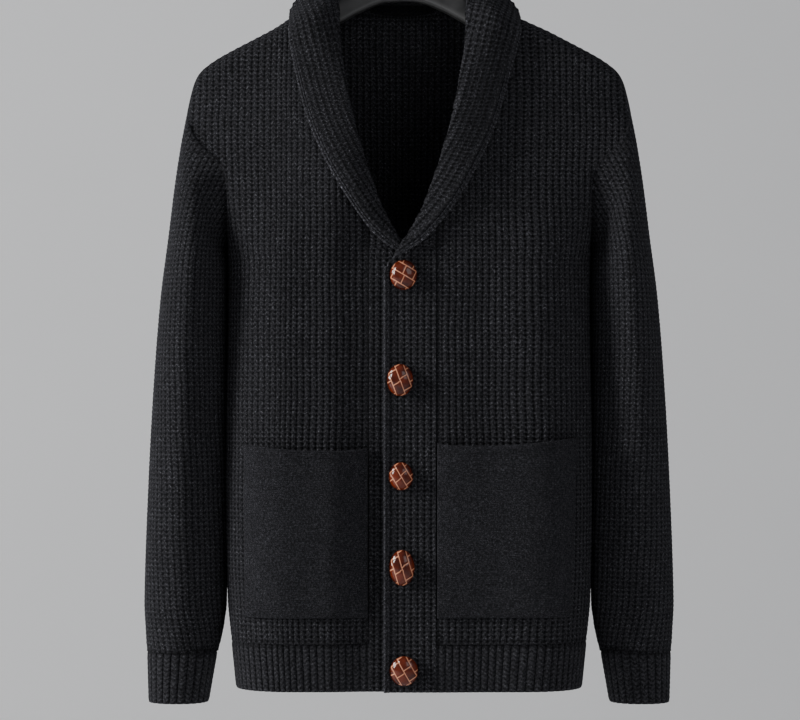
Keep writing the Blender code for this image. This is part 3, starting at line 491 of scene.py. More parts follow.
def sleeve_course(z, wales):
    """Points of one level course of the front half, at the given distances from the outer line."""
    last = float(np.interp(-z, -SEAM[:, 2], SEAM_TURN)) if z > UNDERARM_Z else math.pi
    turn = np.linspace(0, max(last, 1e-3), FINE_TURNS)
    low, high = np.zeros(turn.shape), np.full(turn.shape, LONGEST)
    for _ in range(HALVINGS):
        middle = (low + high) / 2
        above = sleeve_point(middle, turn)[:, 2] > z
        low, high = np.where(above, middle, low), np.where(above, high, middle)
    line = sleeve_point(low, turn)
    if z > UNDERARM_Z:
        line = np.concatenate([line, [picked(-z, -SEAM[:, 2], SEAM)]])
    count = travelled(line)
    k = np.clip(wales, 0, count[-1])
    return picked(k, count, line), k, count[-1]


# %% Make the sleeves
HALF_WALE = np.array([WALE / 2, 0])
SLEEVE_WIDE, OTHER_DRIFT, UNDER_SEAM = 190.0, 300.0, 1.6
INNER_X, INNER_RAMP, INNER_HIGH = 196.0, 12.0, 1.6  # the cloth bulges over the seam under the arm


def sleeve_half():
    heights = np.append(np.arange(CUFF_SEAM_Z, HEAD_Z, COURSE / 3), HEAD_Z - 0.5)
    wales = np.arange(0, SLEEVE_WIDE, WALE / 3)
    points, uv, gap = [], [], []
    for z in heights:
        drift = wander(wales + OTHER_DRIFT, z) * smooth(wales / STEADY)
        row, k, end = sleeve_course(float(z), wales + drift)
        points.append(row)
        uv.append(np.stack([k - drift + WALE / 2, np.full(k.shape, z)], 1))
        from_seam = end - k if z > UNDERARM_Z else UNDER_SEAM + end - k
        gap.append(np.minimum(from_seam, z - CUFF_SEAM_Z))
    uv, points = np.array(uv), np.array(points)
    lift, relief = waffle_lift(uv, np.array(gap), LINKED_SEAM)
    inner_side = smooth((INNER_X - points[..., 0]) / INNER_RAMP) * under_arm(points)
    return both_halves(points, uv - HALF_WALE, lift + INNER_HIGH * inner_side, relief, BEHIND)


points, uv, lift, relief = sleeve_half()
sleeve = points, uv + HALF_WALE, lift, relief
both_sides("sleeve", "_knit", "waffle_knit", lambda side: sleeve, turned=1, cells=1.0)

# %% [markdown]
# ## The ribbing
# Cuffs and hem are a one by one rib, which keeps them elastic: each plain stitch stands up as a
# round cord and each purl stitch sinks between two of them. The path round the edge is divided
# evenly into ribs. Each has eight grid lines, closest in the groove, and is lifted in a rounded
# wave. A Solidify wall gives the thick edge that shows from below.

# %% Ribs along a path
RIB_HIGH, RIB_ROW = 1.7, 2.4
RIB_LINES = np.array([0, 0.2, 0.35, 0.44, 0.5, 0.56, 0.65, 0.8])  # shares of one rib
RIB_ROUND, RIB_STITCH, RIB_FOOT, RIB_FOOT_HIGH = 0.4, 0.12, 0.7, 3.0
CUFF_RIBS, CUFF_PITCH, HEM_RIBS_HALF, HEM_PITCH = 26, 7.2, 27, 7.0
RIB_RISE, RIB_DIP = 2.0, 1.0  # the rib runs this far up, and this deep, behind the waffle
FINE = np.linspace(0, 1, 721)


def along_path(path, shares):
    """Points of a fine path, at these shares of its length."""
    lengths = travelled(path)
    return picked(shares * lengths[-1], lengths, path)


def rib_grid(path_at, low, high, ribs, pitch):
    """A ribbed grid from the free edge at the foot up to the seam."""
    heights = np.append(np.arange(low, high, RIB_ROW), high + RIB_RISE)
    turn = np.append((np.arange(ribs)[:, None] + RIB_LINES).ravel(), ribs)
    points = np.array([along_path(path_at(z), turn / ribs) for z in heights])
    wave = np.abs(np.cos(math.pi * turn)) ** RIB_ROUND
    stitch = RIB_STITCH * np.cos(2 * math.pi * heights / (2 * RIB_ROW))[:, None] * wave
    foot = RIB_FOOT * (1 - smooth((heights - low) / RIB_FOOT_HIGH))[:, None]
    head = RIB_DIP * smooth((heights - high + 2 * RIB_ROW) / (2 * RIB_ROW))[:, None]
    lift = (wave - 1) * RIB_HIGH + stitch - foot - head
    uv = np.stack(np.meshgrid(turn * pitch, heights), -1)
    # relief is painted shade: darker in the purl grooves between the cords and where the rib dips
    # behind the waffle at its top.
    relief = np.broadcast_to(0.4 + 0.6 * wave, lift.shape) * (1 - 0.3 * head / RIB_DIP)
    return points, uv, lift, relief


# %% Cuffs and hem
def cuff_path(z):
    inner, outer, depth = (along(SLEEVE, "z", key, z) for key in ("inner", "outer", "depth"))
    turn, power = 2 * math.pi * FINE, 2 / SLEEVE_POWER
    share, front = (squared(np.cos(turn), power) + 1) / 2, squared(np.sin(turn), power)
    return np.stack([between(inner, outer, share), -depth * front, np.full(turn.shape, z)], 1)


def hem_grid(side, face=-1):
    def path(z):
        start = BAND_SEAM_X - TUCKED if face < 0 else 0.0
        x = between(start, float(side_line(z)[0]), FINE ** 0.6)
        return np.stack([x, face * body_depth(side, face, x, z), np.full(x.shape, z)], 1)

    return rib_grid(path, HEM_Z, HEM_SEAM_Z, HEM_RIBS_HALF, HEM_PITCH)


cuff = rib_grid(cuff_path, CUFF_Z, CUFF_SEAM_Z, CUFF_RIBS, CUFF_PITCH)
both_sides("cuff", "_rib", "rib_knit", lambda side: cuff, turned=1, thick=CLOTH)
both_sides("hem_front", "_rib", "rib_knit", hem_grid, thick=CLOTH)
cloth("hem_back_rib", "hem_back", "rib_knit", *both_halves(*hem_grid(0, 1)), turned=True,
      thick=CLOTH)

# %% [markdown]
# ## The button bands
# Each band is a straight strip of waffle. Along its free edge run two raised cords of tight chain
# stitch, a higher one at the edge and a lower one beside it, with a narrow groove inside them. Its
# top follows the line where the collar starts. The rows above that line are pulled down to it, as at
# the seams of the body.

# %% Make the bands
BAND_TOPS = columns("x z", ((-18.5, -391), (-16.4, -385), (-9, -374), (-8.2, -372.5), (-3, -367),
                            (5, -365.6), (32.6, -365)))
WELT = 6.0  # how wide the two cords are together
WELT_IN = WELT + 1.3  # the first grid line inside the groove
WELT_LINES = np.array([0, 0.4, 1.5, 2.6, 3.1, 3.6, 4.4, 5.2, 5.7, 6.3, 7.3])
CORDS = columns("middle half_wide high", ((1.5, 1.5, 2.2), (4.4, 1.3, 1.2)))
GROOVE = 0.8
BAND_FOOT, BAND_FOOT_HIGH = 0.8, 3.0  # the strip is rounded at the foot, this much over this height


def welt_lift(from_edge, course):
    """Two chain cords along a free edge, and the groove inside them: lift in mm, and relief, a
    painted shade that is brightest on the cords' tops and darker between the cords, between their
    chain stitches and in the groove.
    """
    away = (from_edge[..., None] - CORDS["middle"]) / CORDS["half_wide"]
    domes = np.sqrt(np.clip(1 - away ** 2, 0, 1))
    chain = 0.5 - 0.5 * np.cos(2 * math.pi * course / COURSE)
    groove = 1 - np.clip(np.abs(from_edge - WELT - 0.3) / 1.2, 0, 1)
    lift = (domes * CORDS["high"]).sum(-1) * (0.85 + 0.15 * chain) - GROOVE * groove
    return lift, (0.78 + 0.22 * domes.max(-1)) * (0.94 + 0.06 * chain) * (1 - 0.25 * groove)


def edged_waffle(from_edge, course):
    """Waffle that ends in a welt: one surface, read by how far each point is from the free edge."""
    uv = np.stack([from_edge - WELT_IN, course], -1)
    cells = smooth(from_edge - WELT - 0.8)
    lift, relief = welt_lift(from_edge, course)
    return uv, between(lift, waffle_high(uv), cells), between(relief, 1.0, cells), cells


def band_grid(side):
    inside = np.arange(WELT_IN + WALE / 3, BAND_SEAM_X - BAND_EDGE_X, WALE / 3)
    from_edge = np.concatenate([WELT_LINES, inside, [BAND_SEAM_X - BAND_EDGE_X]])
    heights = np.append(np.arange(HEM_Z, UNDERARM_Z, COURSE / 3), UNDERARM_Z)
    x, z = np.meshgrid(BAND_EDGE_X + from_edge, heights)
    z = np.minimum(z, np.interp(x, BAND_TOPS["x"], BAND_TOPS["z"]))
    uv, lift, relief, cells = edged_waffle(x - BAND_EDGE_X, z)
    foot = BAND_FOOT * (1 - smooth((z - HEM_Z) / BAND_FOOT_HIGH))
    return np.stack([x, -body_depth(side, -1, x, z), z], -1), uv, lift - foot, relief, cells


both_sides("band", "_knit", "waffle_knit", band_grid, thick=CLOTH)

# %% [markdown]
# ## The shawl collar
# The collar is one long strip, sewn to the neck edge and folded over. At each station along it a
# short profile is drawn: the stand rises from the seam, the cloth rolls over in a half circle, and
# the fall lies down to the free edge, a little full in the middle. The profiles are then resampled
# so that wales run along the collar at even distances from the free edge.

# %% The collar's profile at each station
ROLL_RADIUS, FALL_GAP = 2.4, 6.0
ROLL_SIDE, ROLL_BACK = np.array([-8.0, -95.0]), np.array([28.0, -88.0])  # y and z of the roll
ROLL_X, COLLAR_EDGE_X, COLLAR_EDGE_Z, COLLAR_EDGE_BACK_Z = 64.0, 115.5, -131.0, -143.0
COLLAR_SIDE_FULL, COLLAR_BACK_FULL, FULL_OVER_SINK = 9.0, 4.0, 0.6
HALF_TURN, FALL_POINTS = np.linspace(0, math.pi, 13), 40


def unit(vector):
    vector = np.asarray(vector, float)
    return vector / max(float(np.linalg.norm(vector)), 1e-12)


def surface_at(side, face, x, z):
    """A point of the cloth under the collar, and the way it faces."""
    def depth(at_x, at_z):
        proud = lap(side, at_x, at_z) if face < 0 else 0
        return float(drop_depth(ridge(at_x) - at_z, CHEST[face]) + proud)

    slope_x, slope_z = depth(x + 0.5, z) - depth(x - 0.5, z), depth(x, z + 0.5) - depth(x, z - 0.5)
    return np.array([x, face * depth(x, z), z]), unit((-slope_x, face, -slope_z))


def front_station(side, row):
    cell = {key: float(along(NECK, "row", key, row)) for key in NECK}
    seam, seam_way = surface_at(side, -1, cell["seam_x"], cell["seam_z"])
    roll_y = cell["roll_y"] - float(lap(side, cell["roll_x"], cell["roll_z"]))
    under, way = surface_at(side, -1, cell["edge_x"], cell["edge_z"])
    shoulder = smooth((row - 9) / 1.0)
    clear = FALL_GAP * (1 - 0.6 * smooth((row - 7) / 2))
    edge = between(under + clear * way, np.array([cell["edge_x"], 0.0, cell["edge_z"]]), shoulder)
    turn = math.radians(cell["turn"])
    sunken = -min(0, float(lap(side, 0, cell["roll_z"]))) * smooth((cell["edge_x"] - 20) / 30)
    full = cell["full"] + FULL_OVER_SINK * sunken
    roll = np.array([cell["roll_x"], roll_y, cell["roll_z"]])
    return seam, seam_way, roll, edge, np.array([math.sin(turn), -math.cos(turn), 0]), full


def back_station(x):
    """Behind the shoulder, by how far the neck seam lies from the centre back."""
    z = ridge(NECK_HALF) - (ridge(NECK_HALF) - BACK_NECK_Z) * math.sqrt(1 - (x / NECK_HALF) ** 2)
    seam, seam_way = surface_at(0, 1, x, float(z))
    way = x / NECK_HALF
    rise = math.sqrt(1 - way * way)
    roll = np.array([ROLL_X * way, *between(ROLL_SIDE, ROLL_BACK, rise)])
    edge_z = between(COLLAR_EDGE_Z, COLLAR_EDGE_BACK_Z, rise)
    under, out_way = surface_at(0, 1, COLLAR_EDGE_X * way, edge_z)
    edge = under + FALL_GAP * 0.5 * out_way
    full = between(COLLAR_SIDE_FULL, COLLAR_BACK_FULL, rise)
    return seam, seam_way, roll, edge, unit((way, rise, 0)), full


def collar_profile(station):
    """Fine points of the cloth's middle line, from the free edge up the fall and down the stand."""
    seam, seam_way, roll, edge, out, full = station
    start = seam - CLOTH / 2 * seam_way
    up = unit((roll - start) - out * float((roll - start) @ out))
    stand_top = roll - up * (ROLL_RADIUS + CLOTH / 2)
    fall_top = stand_top + out * 2 * ROLL_RADIUS
    down = unit(edge - fall_top)
    bulge = unit(out - down * float(out @ down))
    share = np.linspace(1, 0, FALL_POINTS)[:, None]
    fall = between(fall_top, edge, share) + bulge * full * 4 * share * (1 - share)
    centre = stand_top + out * ROLL_RADIUS
    round_it = np.cos(HALF_TURN)[:, None] * out + np.sin(HALF_TURN)[:, None] * up
    roll_over = centre + ROLL_RADIUS * round_it
    stand = between(stand_top, start, np.linspace(0, 1, 20)[:, None])
    return np.concatenate([fall, roll_over[1:-1], stand])


# %% Resample the profiles to the knit and make the collar
FALL_WIDE, STAND_WIDE = 60.0, 60.0
FALL_COUNTS = np.concatenate([WELT_LINES, np.arange(WELT_IN + WALE / 3, FALL_WIDE, WALE / 3)])
STAND_COUNTS = np.arange(0, STAND_WIDE, WALE / 3)[::-1]
STAND_PHASE = 6 * WALE  # wales from the seam of the band to its welt
COLLAR_TUCKED = np.array([0, 0.8, -2.0])  # the collar's end goes this far behind the band


def collar_station(station):
    """Points at even distances from the free edge up to the roll, and from there to the seam."""
    profile = collar_profile(station)
    count = travelled(profile)
    roll = count[FALL_POINTS - 1 + len(HALF_TURN) // 2]
    fall = np.minimum(FALL_COUNTS, roll)
    stand = np.minimum(STAND_COUNTS, count[-1] - roll)
    k = np.concatenate([fall, count[-1] - stand])
    return picked(k, count, profile), np.append(fall, stand)


def collar_half(side):
    """Stations from the break at the front round to the centre back."""
    stations = [front_station(side, row) for row in np.linspace(0, 10, 81)]
    stations += [back_station(NECK_HALF * math.cos(t)) for t in np.linspace(0, math.pi / 2, 40)[1:]]
    lines, counts = zip(*map(collar_station, stations))
    lines = np.array((lines[0] + COLLAR_TUCKED, *lines)) * np.array([side, 1, 1])
    return lines, np.array((counts[0], *counts))


COURSE_LINE = 12  # the grid line along which the collar's courses are counted
halves = zip(collar_half(1), collar_half(-1))
lines, counts = (np.concatenate([right, left[-2::-1]]) for right, left in halves)
course = travelled(lines[:, COURSE_LINE])
course -= course[-1] / 2
stops = np.arange(course[0], course[-1], COURSE / 3)
points = picked(stops, course, lines.reshape(len(course), -1)).reshape(len(stops), -1, 3)
counts = picked(stops, course, counts)
courses = np.broadcast_to(stops[:, None], counts.shape)
uv, lift, relief, cells = edged_waffle(counts, courses)
on_stand = slice(len(FALL_COUNTS), None)
uv[:, on_stand, 0] = STAND_PHASE - counts[:, on_stand]
lift[:, on_stand] = waffle_high(uv[:, on_stand])
relief[:, on_stand], cells[:, on_stand] = 1, 1
collar = cloth("collar_knit", "collar", "waffle_knit", points, uv, lift, relief, cells,
               thick=CLOTH - 0.4)
collar.modifiers["wall"].offset = 0

# %% [markdown]
# ## The pockets
# The patch pockets are cut from a finer, denser knit that has been brushed, so they look like felt
# beside the waffle. They are sewn down round three sides and hang a little away from the front at
# the mouth, where the edge is rolled over. Each is laid on the front's own surface and moved out.

# %% Make the pockets
POCKETS = columns("inner_x outer_top_x outer_foot_x top_inner_z top_outer_z foot_z",
                  ((33.6, 161, 160, -560.5, -557, -727.5),
                   (33.6, 164, 156.5, -556, -550.5, -727)))
POCKET_GAP, POCKET_FULL = 0.3, 6.0
POCKET_STEP = 2.0
POCKET_ROLL, POCKET_ROLL_HIGH = 6.0, 1.4
MOUTH_SAG = 4.5  # the mouth hangs in a shallow curve
POCKET_EDGE = 3.0


def eased_steps(length):
    """Even steps with a few finer ones near both ends, where the edge is rounded."""
    ends = np.array([0, 0.6, 1.4, 2.4])
    return np.concatenate([ends, np.arange(4.0, length - 3.0, POCKET_STEP), length - ends[::-1]])


def pocket_grid(side):
    size = {key: float(values[int(side > 0)]) for key, values in POCKETS.items()}
    wide, tall = size["outer_top_x"] - size["inner_x"], size["top_inner_z"] - size["foot_z"]
    u, v = np.meshgrid(eased_steps(wide) / wide, eased_steps(tall) / tall)
    top = between(size["top_inner_z"], size["top_outer_z"], u)
    top = top - MOUTH_SAG * np.sin(math.pi * u ** 0.8)
    x = between(size["inner_x"], between(size["outer_foot_x"], size["outer_top_x"], v), u)
    z = between(size["foot_z"], top, v)
    from_top, from_side = (1 - v) * tall, np.minimum(u, 1 - u) * wide
    from_sewn = np.minimum(from_side, v * tall)
    at_mouth = 0.75 + 0.35 * smooth((v - 0.8) / 0.2)
    full = POCKET_FULL * (1 - np.abs(2 * u - 1) ** 3) * smooth(v / 0.3) * at_mouth
    roll = np.sqrt(np.clip(1 - ((from_top - POCKET_ROLL / 2) / (POCKET_ROLL / 2)) ** 2, 0, 1))
    below = 1 - np.clip(np.abs(from_top - POCKET_ROLL - 0.8) / 1.4, 0, 1)
    edge = 1 - np.sqrt(np.clip(1 - (1 - np.clip(from_sewn / POCKET_EDGE, 0, 1)) ** 2, 0, 1))
    sway = 0.5 * np.sin(x / 21 + z / 47) * np.sin(z / 33 + 0.8) * smooth(from_sewn / 20)
    lift = POCKET_GAP + CLOTH + full + POCKET_ROLL_HIGH * roll - 0.1 * below - 1.6 * edge + sway
    points = np.stack([x, -body_depth(side, -1, x, z), z], -1)
    # The last value is the relief, a painted shade: darker just below the rolled mouth and along the
    # sewn edges, where the cloth sinks.
    return points, np.stack([x, z], -1), lift, 1 - 0.15 * below - 0.4 * edge


both_sides("pocket", "_knit", "fine_knit", pocket_grid, thick=CLOTH - 0.3)

# %% [markdown]
# ## The buttons
# They are domed shank buttons in the football pattern: narrow leather straps are plaited over the
# dome, so it shows a staggered set of small pillows with paler edges. The dome and its shank are one
# profile, spun round. The plait is worked out from each point's place across the button: two strap
# directions, with the joints of neighbouring columns offset by half a pillow.

# %% A plaited dome
BUTTONS = columns("x z width height lean",
                  ((0.9, -392.1, 26.3, 29.2, 62), (-2.5, -494.5, 25.4, 31.2, 25),
                   (-1.5, -588.1, 23.4, 27.3, 35), (-0.5, -677.3, 24.4, 35.1, 23),
                   (1.4, -778.2, 27.3, 29.2, 31)))
DOME = columns("share height", ((0, 8.6), (0.36, 8.1), (0.7, 6.3), (0.92, 3.6), (1, 1.6)))
BUTTON_RINGS, BUTTON_TURNS = 34, 128
KNIT_PROUD, CLEAR, SHANK_RADIUS = 1.0, 0.3, 1.7  # the dome clears the knit's relief as well
STRAP, PILLOW, PILLOW_DEEP, PILLOW_ROUND, JOINT_WIDE = 0.64, 0.84, 0.49, 0.16, 0.055


def plait(u, v):
    """Distance to the nearest joint of the plait, for a place across the button from -1 to 1."""
    strap = np.floor(u / STRAP)
    shift = 0.11 * np.sign(strap + 0.5) + 0.4 * (np.abs(strap + 0.5) > 1)
    across = 0.5 - np.abs((u / STRAP) % 1 - 0.5)
    ends = 0.5 - np.abs((v / PILLOW - shift) % 1 - 0.5)
    return np.minimum(across * STRAP, ends * PILLOW)


def button_profile(rim, shank):
    """From the middle of the dome out over the rim and back to the foot of the shank."""
    bow = np.linspace(0, math.pi / 2, BUTTON_RINGS)
    radius = np.sin(bow)
    tall = along(DOME, "share", "height", radius)
    outline = [(rim * r, t) for r, t in zip(radius, tall)]
    outline += [(rim * 0.99, 0.9), (rim * 0.95, 0.3), (rim * 0.8, 0), (SHANK_RADIUS * 1.3, 0)]
    thread = np.linspace(0, shank, 14)
    outline += [(SHANK_RADIUS * (1 if k % 2 else 0.82), -deep) for k, deep in enumerate(thread)]
    return outline + [(0, -shank)]


def button(index):
    name = f"button_{index + 1}"
    x, z, width, height, lean = (float(BUTTONS[key][index]) for key in BUTTONS)
    face = -float(body_depth(1, -1, x, z)) - KNIT_PROUD - CLEAR
    shank = -float(body_depth(-1, -1, x, z)) - CLEAR - face
    turned = bmesh.new()
    corners = [turned.verts.new((r, 0, tall)) for r, tall in button_profile(width / 2, shank)]
    for a, b in zip(corners, corners[1:]):
        turned.edges.new((a, b))
    bmesh.ops.spin(turned, geom=turned.verts[:] + turned.edges[:], axis=(0, 0, 1), cent=(0, 0, 0),
                   steps=BUTTON_TURNS, angle=2 * math.pi, use_merge=True)
    bmesh.ops.remove_doubles(turned, verts=turned.verts, dist=1e-3)
    bmesh.ops.recalc_face_normals(turned, faces=turned.faces)
    turned.normal_update()
    joint = turned.verts.layers.float.new("joint")
    thread = turned.verts.layers.float.new("thread")
    tilt = math.radians(lean)
    for spot, normal in [(spot, spot.normal.copy()) for spot in turned.verts]:
        a, b = spot.co.x / (width / 2), spot.co.y / (width / 2)
        u, v = a * math.cos(tilt) + b * math.sin(tilt), b * math.cos(tilt) - a * math.sin(tilt)
        near = float(plait(np.array(u), np.array(v)))
        front = float(smooth((spot.co.z - 1.2) / 1.5))
        spot[joint] = float(np.clip(1 - near / JOINT_WIDE, 0, 1)) * front
        spot[thread] = 1.0 if spot.co.z < -0.05 else 0.0
        pillow = float(np.clip(near / PILLOW_ROUND, 0, 1))
        spot.co -= normal * (PILLOW_DEEP * (1 - math.sqrt(1 - (1 - pillow) ** 2)) * front)
        if math.hypot(spot.co.x, spot.co.y) > 1.5 * SHANK_RADIUS:
            spot.co.y *= height / width
    depth_up, depth_down = (float(body_depth(1, -1, x, z + s * height / 2)) for s in (1, -1))
    turn = Matrix.Rotation(math.radians(90) - math.atan((depth_down - depth_up) / height), 4, "X")
    place = Matrix.Translation(Vector((x, face, z)) * MM) @ turn @ Matrix.Scale(MM, 4)
    bmesh.ops.transform(turned, matrix=place, verts=turned.verts)
    mesh = bpy.data.meshes.new(name + "_plaited")
    turned.to_mesh(mesh)
    turned.free()
    mesh.shade_smooth()
    piece = linked(name + "_plaited", mesh)
    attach(piece, "root")
    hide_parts(name)
    return piece


for index in range(5):
    piece = button(index)
    print(piece.name, len(piece.data.polygons), "faces")


# %% Cut the buttonholes
HOLE_HALF, HOLE_HIGH = 9.0, 2.2


def in_buttonhole(spot):
    across = np.abs(spot.x / MM - BUTTONS["x"]) < HOLE_HALF
    return bool(np.any(across & (np.abs(spot.z / MM - BUTTONS["z"]) < HOLE_HIGH)))


top_band = bpy.data.objects["band_right_knit"].data
strip = bmesh.new()
strip.from_mesh(top_band)
slots = [face for face in strip.faces if in_buttonhole(face.calc_center_median())]
bmesh.ops.delete(strip, geom=slots, context="FACES")
strip.to_mesh(top_band)
strip.free()
print("buttonholes of", len(slots), "faces")

# %% [markdown]
# ## The hanger
# A wide-shoulder hanger is a plastic moulding: broad rounded shoulders that thin towards a flat arch
# in the middle. It is lofted as a grid of rings from one shoulder to the other, with the rings at
# both ends drawn in to a point, and a shallow groove runs along the front above the lower edge.

# %% Make the hanger
HANGER = columns("x top foot half_depth",
                 ((0, -80, -117, 7), (20, -87, -119, 7), (42, -98, -128, 7.5), (62, -109.5, -139, 9),
                  (82, -121.5, -150, 11), (99, -131.8, -159, 12.5), (116, -141.5, -168, 13.5),
                  (150, -158.3, -184, 14), (183, -175, -198, 14), (198, -184.8, -206, 13),
                  (205, -193, -209, 10), (208, -199, -208, 5)))
HANGER_TURNS, HANGER_FLAT, HANGER_TALL, HANGER_CLOSES = 48, 0.62, 0.9, 4.0
HANGER_ENDS = np.array([204.5, 206.2, 207.2, 207.8, 208])
GROOVE_UP, GROOVE_WIDE, GROOVE_DEEP = 4.5, 1.1, 0.9


def hanger_grid():
    half = np.concatenate([np.arange(0, 203, 4.0), HANGER_ENDS])
    x = np.concatenate([-half[:0:-1], half])
    at = np.abs(x)
    top, foot, deep = (along(HANGER, "x", key, at)[:, None] for key in ("top", "foot", "half_depth"))
    closing = np.sqrt(np.clip((HANGER_ENDS[-1] - at) / HANGER_CLOSES, 0, 1))[:, None]
    turn = np.linspace(0, 2 * math.pi, HANGER_TURNS + 1)[None]
    y = -deep * squared(np.sin(turn), HANGER_FLAT) * closing
    share = 0.5 + 0.5 * squared(np.cos(turn), HANGER_TALL)
    z = between((top + foot) / 2, between(foot, top, share), closing)
    groove = np.exp(-((share * (top - foot) - GROOVE_UP) / GROOVE_WIDE) ** 2)
    groove = groove * (np.sin(turn) > 0) * closing
    return np.stack([np.broadcast_to(x[:, None], z.shape), y + GROOVE_DEEP * groove, z], -1), groove


points, groove = hanger_grid()
flat_uv = np.stack([points[..., 0], points[..., 2]], -1)
cloth("hanger_body_moulding", "hanger_body", "hanger_plastic", points, flat_uv,
      np.zeros(groove.shape), groove, turned=True)

# %% [markdown]
# ## The hook
# One bent steel wire, screwed into the moulding. A curve with a round bevel is the plain way to make
# a wire: its points follow the neck and then three quarters of a circle, and the radius shrinks over
# the last few points, so that the tip is rounded.

# %% Make the hook
HOOK_WIRE, HOOK_INSIDE, HOOK_SOCKET, HOOK_PLAY = 2.2, 20.0, 16.0, 0.3
HOOK_NECK = columns("x below", ((0, 44.2), (0, 36.2), (3.2, 28.2), (8.5, 21.6)))
hook_foot = float(HANGER["top"][0]) - HOOK_SOCKET + HOOK_PLAY
below = np.linspace(*HOOK_NECK["below"][[0, -1]], 14)
neck_x = np.interp(below, HOOK_NECK["below"][::-1], HOOK_NECK["x"][::-1])
round_turn = np.radians(np.arange(-52, 206, 4))
bend = HOOK_INSIDE + HOOK_WIRE
route = [(0, hook_foot), (0, hook_foot + HOOK_SOCKET)]
route += [(x, -HOOK_INSIDE - deep) for x, deep in zip(neck_x, below)]
tip = np.linspace(0.2, 1, 6)
round_turn = np.append(round_turn, round_turn[-1] + tip * HOOK_WIRE / bend)
route += [(bend * math.cos(t), -HOOK_INSIDE + bend * math.sin(t)) for t in round_turn]
wire = bpy.data.curves.new("hanger_hook_wire", "CURVE")
wire.dimensions = "3D"
wire.bevel_depth = HOOK_WIRE * MM
wire.bevel_resolution = 6
wire.use_fill_caps = True
line = wire.splines.new("POLY")
line.points.add(len(route) - 1)
for point, (x, z) in zip(line.points, route):
    point.co = (x * MM, 0, z * MM, 1)
for point, share in zip(list(line.points)[-len(tip):], tip):
    point.radius = max(math.sqrt(1 - share * share), 0.15)
drawn = linked("hook_line", wire)
solid = drawn.evaluated_get(bpy.context.evaluated_depsgraph_get())
hook = linked("hanger_hook_wire", bpy.data.meshes.new_from_object(solid))
bpy.data.objects.remove(drawn)
hook.data.shade_smooth()
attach(hook, "root")
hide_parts("hanger_hook")
print("hook of", len(route), "points")

# %% [markdown]
# ## What each piece was cut to
# Cloth keeps its area when it hangs, so the size of each knitted piece's cut is worked out and
# printed. The UV map is already the flat knit in metres, so the width, the length and the area can
# all be read from it. Only the collar's width is given, because its two faces share one stretch of
# the map.

HANGS_FROM = {"front_{}_knit": "hanger_body_moulding", "back_knit": "hanger_body_moulding",
              "sleeve_{}_knit": "front_{}_knit back_knit", "cuff_{}_rib": "sleeve_{}_knit",
              "hem_front_{}_rib": "front_{}_knit", "hem_back_rib": "back_knit",
              "band_{}_knit": "front_{}_knit",
              "collar_knit": "front_left_knit front_right_knit back_knit",
              "pocket_{}_knit": "front_{}_knit"}
COLLAR_CUT = float(counts[:, :len(FALL_COUNTS)].max() + counts[:, len(FALL_COUNTS):].max())


def flat_cut(piece):
    """Width and length of a piece's cut in metres, and its area, all read from the UV map."""
    mesh = piece.data
    mesh.calc_loop_triangles()
    corners = np.empty(3 * len(mesh.loop_triangles), np.int32)
    mesh.loop_triangles.foreach_get("loops", corners)
    flat = np.empty(2 * len(mesh.loops), np.float32)
    mesh.uv_layers["UVMap"].data.foreach_get("uv", flat)
    flat = flat.reshape(-1, 2)
    a, b, c = flat[corners.reshape(-1, 3)].transpose(1, 2, 0)
    area = np.abs((b - a)[0] * (c - a)[1] - (b - a)[1] * (c - a)[0]).sum() / 2
    return float(np.ptp(flat[:, 0])), float(np.ptp(flat[:, 1])), float(area)


sheets = [(name.format(hand), holders.format(hand).split()) for name, holders in HANGS_FROM.items()
          for hand in (("left", "right") if "{}" in name else ("",))]
for name, holders in sheets:
    piece = bpy.data.objects[name]
    width, length, area = flat_cut(piece)
    width = COLLAR_CUT * MM if name == "collar_knit" else width
    print(name, "cut", round(1000 * width), "by", round(1000 * length), "mm,", round(area, 4), "m2")

# %% [markdown]
# ## Building materials from nodes
# Every finish here is worked out by shader nodes, so nothing depends on a picture. Effects that
# several finishes share are node groups with named sockets: the stitches of the knit, the mixed
# colour of its yarn, and a fine grain for the hard parts. A few small helpers keep the wiring short.

# %% Helpers for shader nodes
FLOAT, VECTOR = "NodeSocketFloat", "NodeSocketVector"


def wire_up(socket, value):
    """Sets a socket to a number or colour, or links it to another node's output."""
    if isinstance(value, bpy.types.NodeSocket):
        socket.id_data.links.new(value, socket)
    else:
        socket.default_value = value


def beside(kind, *values):
    """A new node in the tree that the first linked value belongs to."""
    sockets = [value for value in values if isinstance(value, bpy.types.NodeSocket)]
    return sockets[0].id_data.nodes.new(kind)


def maths(operation, *values):
    node = beside("ShaderNodeMath", *values)
    node.operation = operation
    for socket, value in zip(node.inputs, values):
        wire_up(socket, value)
    return node.outputs[0]


def product(first, *others):
    """Values multiplied together, one after another."""
    for other in others:
        first = maths("MULTIPLY", first, other)
    return first


def added(start, *parts):
    """A sum in which each part counts by its own share."""
    for value, share in parts:
        start = maths("MULTIPLY_ADD", value, share, start)
    return start


def noise(place, scale, detail=2.0, roughness=0.5):
    node = beside("ShaderNodeTexNoise", place)
    node.inputs["Detail"].default_value = detail
    node.inputs["Roughness"].default_value = roughness
    wire_up(node.inputs["Vector"], place)
    wire_up(node.inputs["Scale"], scale)
    return node.outputs["Fac"]


def ranged(value, low, high, to_low=0.0, to_high=1.0):
    node = beside("ShaderNodeMapRange", value)
    for socket, setting in zip(node.inputs, (value, low, high, to_low, to_high)):
        wire_up(socket, setting)
    return node.outputs[0]


def mixed(share, first, second, blend="MIX"):
    node = beside("ShaderNodeMix", share, first, second)
    node.data_type = "RGBA"
    node.blend_type = blend
    for index, value in ((0, share), (6, first), (7, second)):
        wire_up(node.inputs[index], value)
    return node.outputs[2]


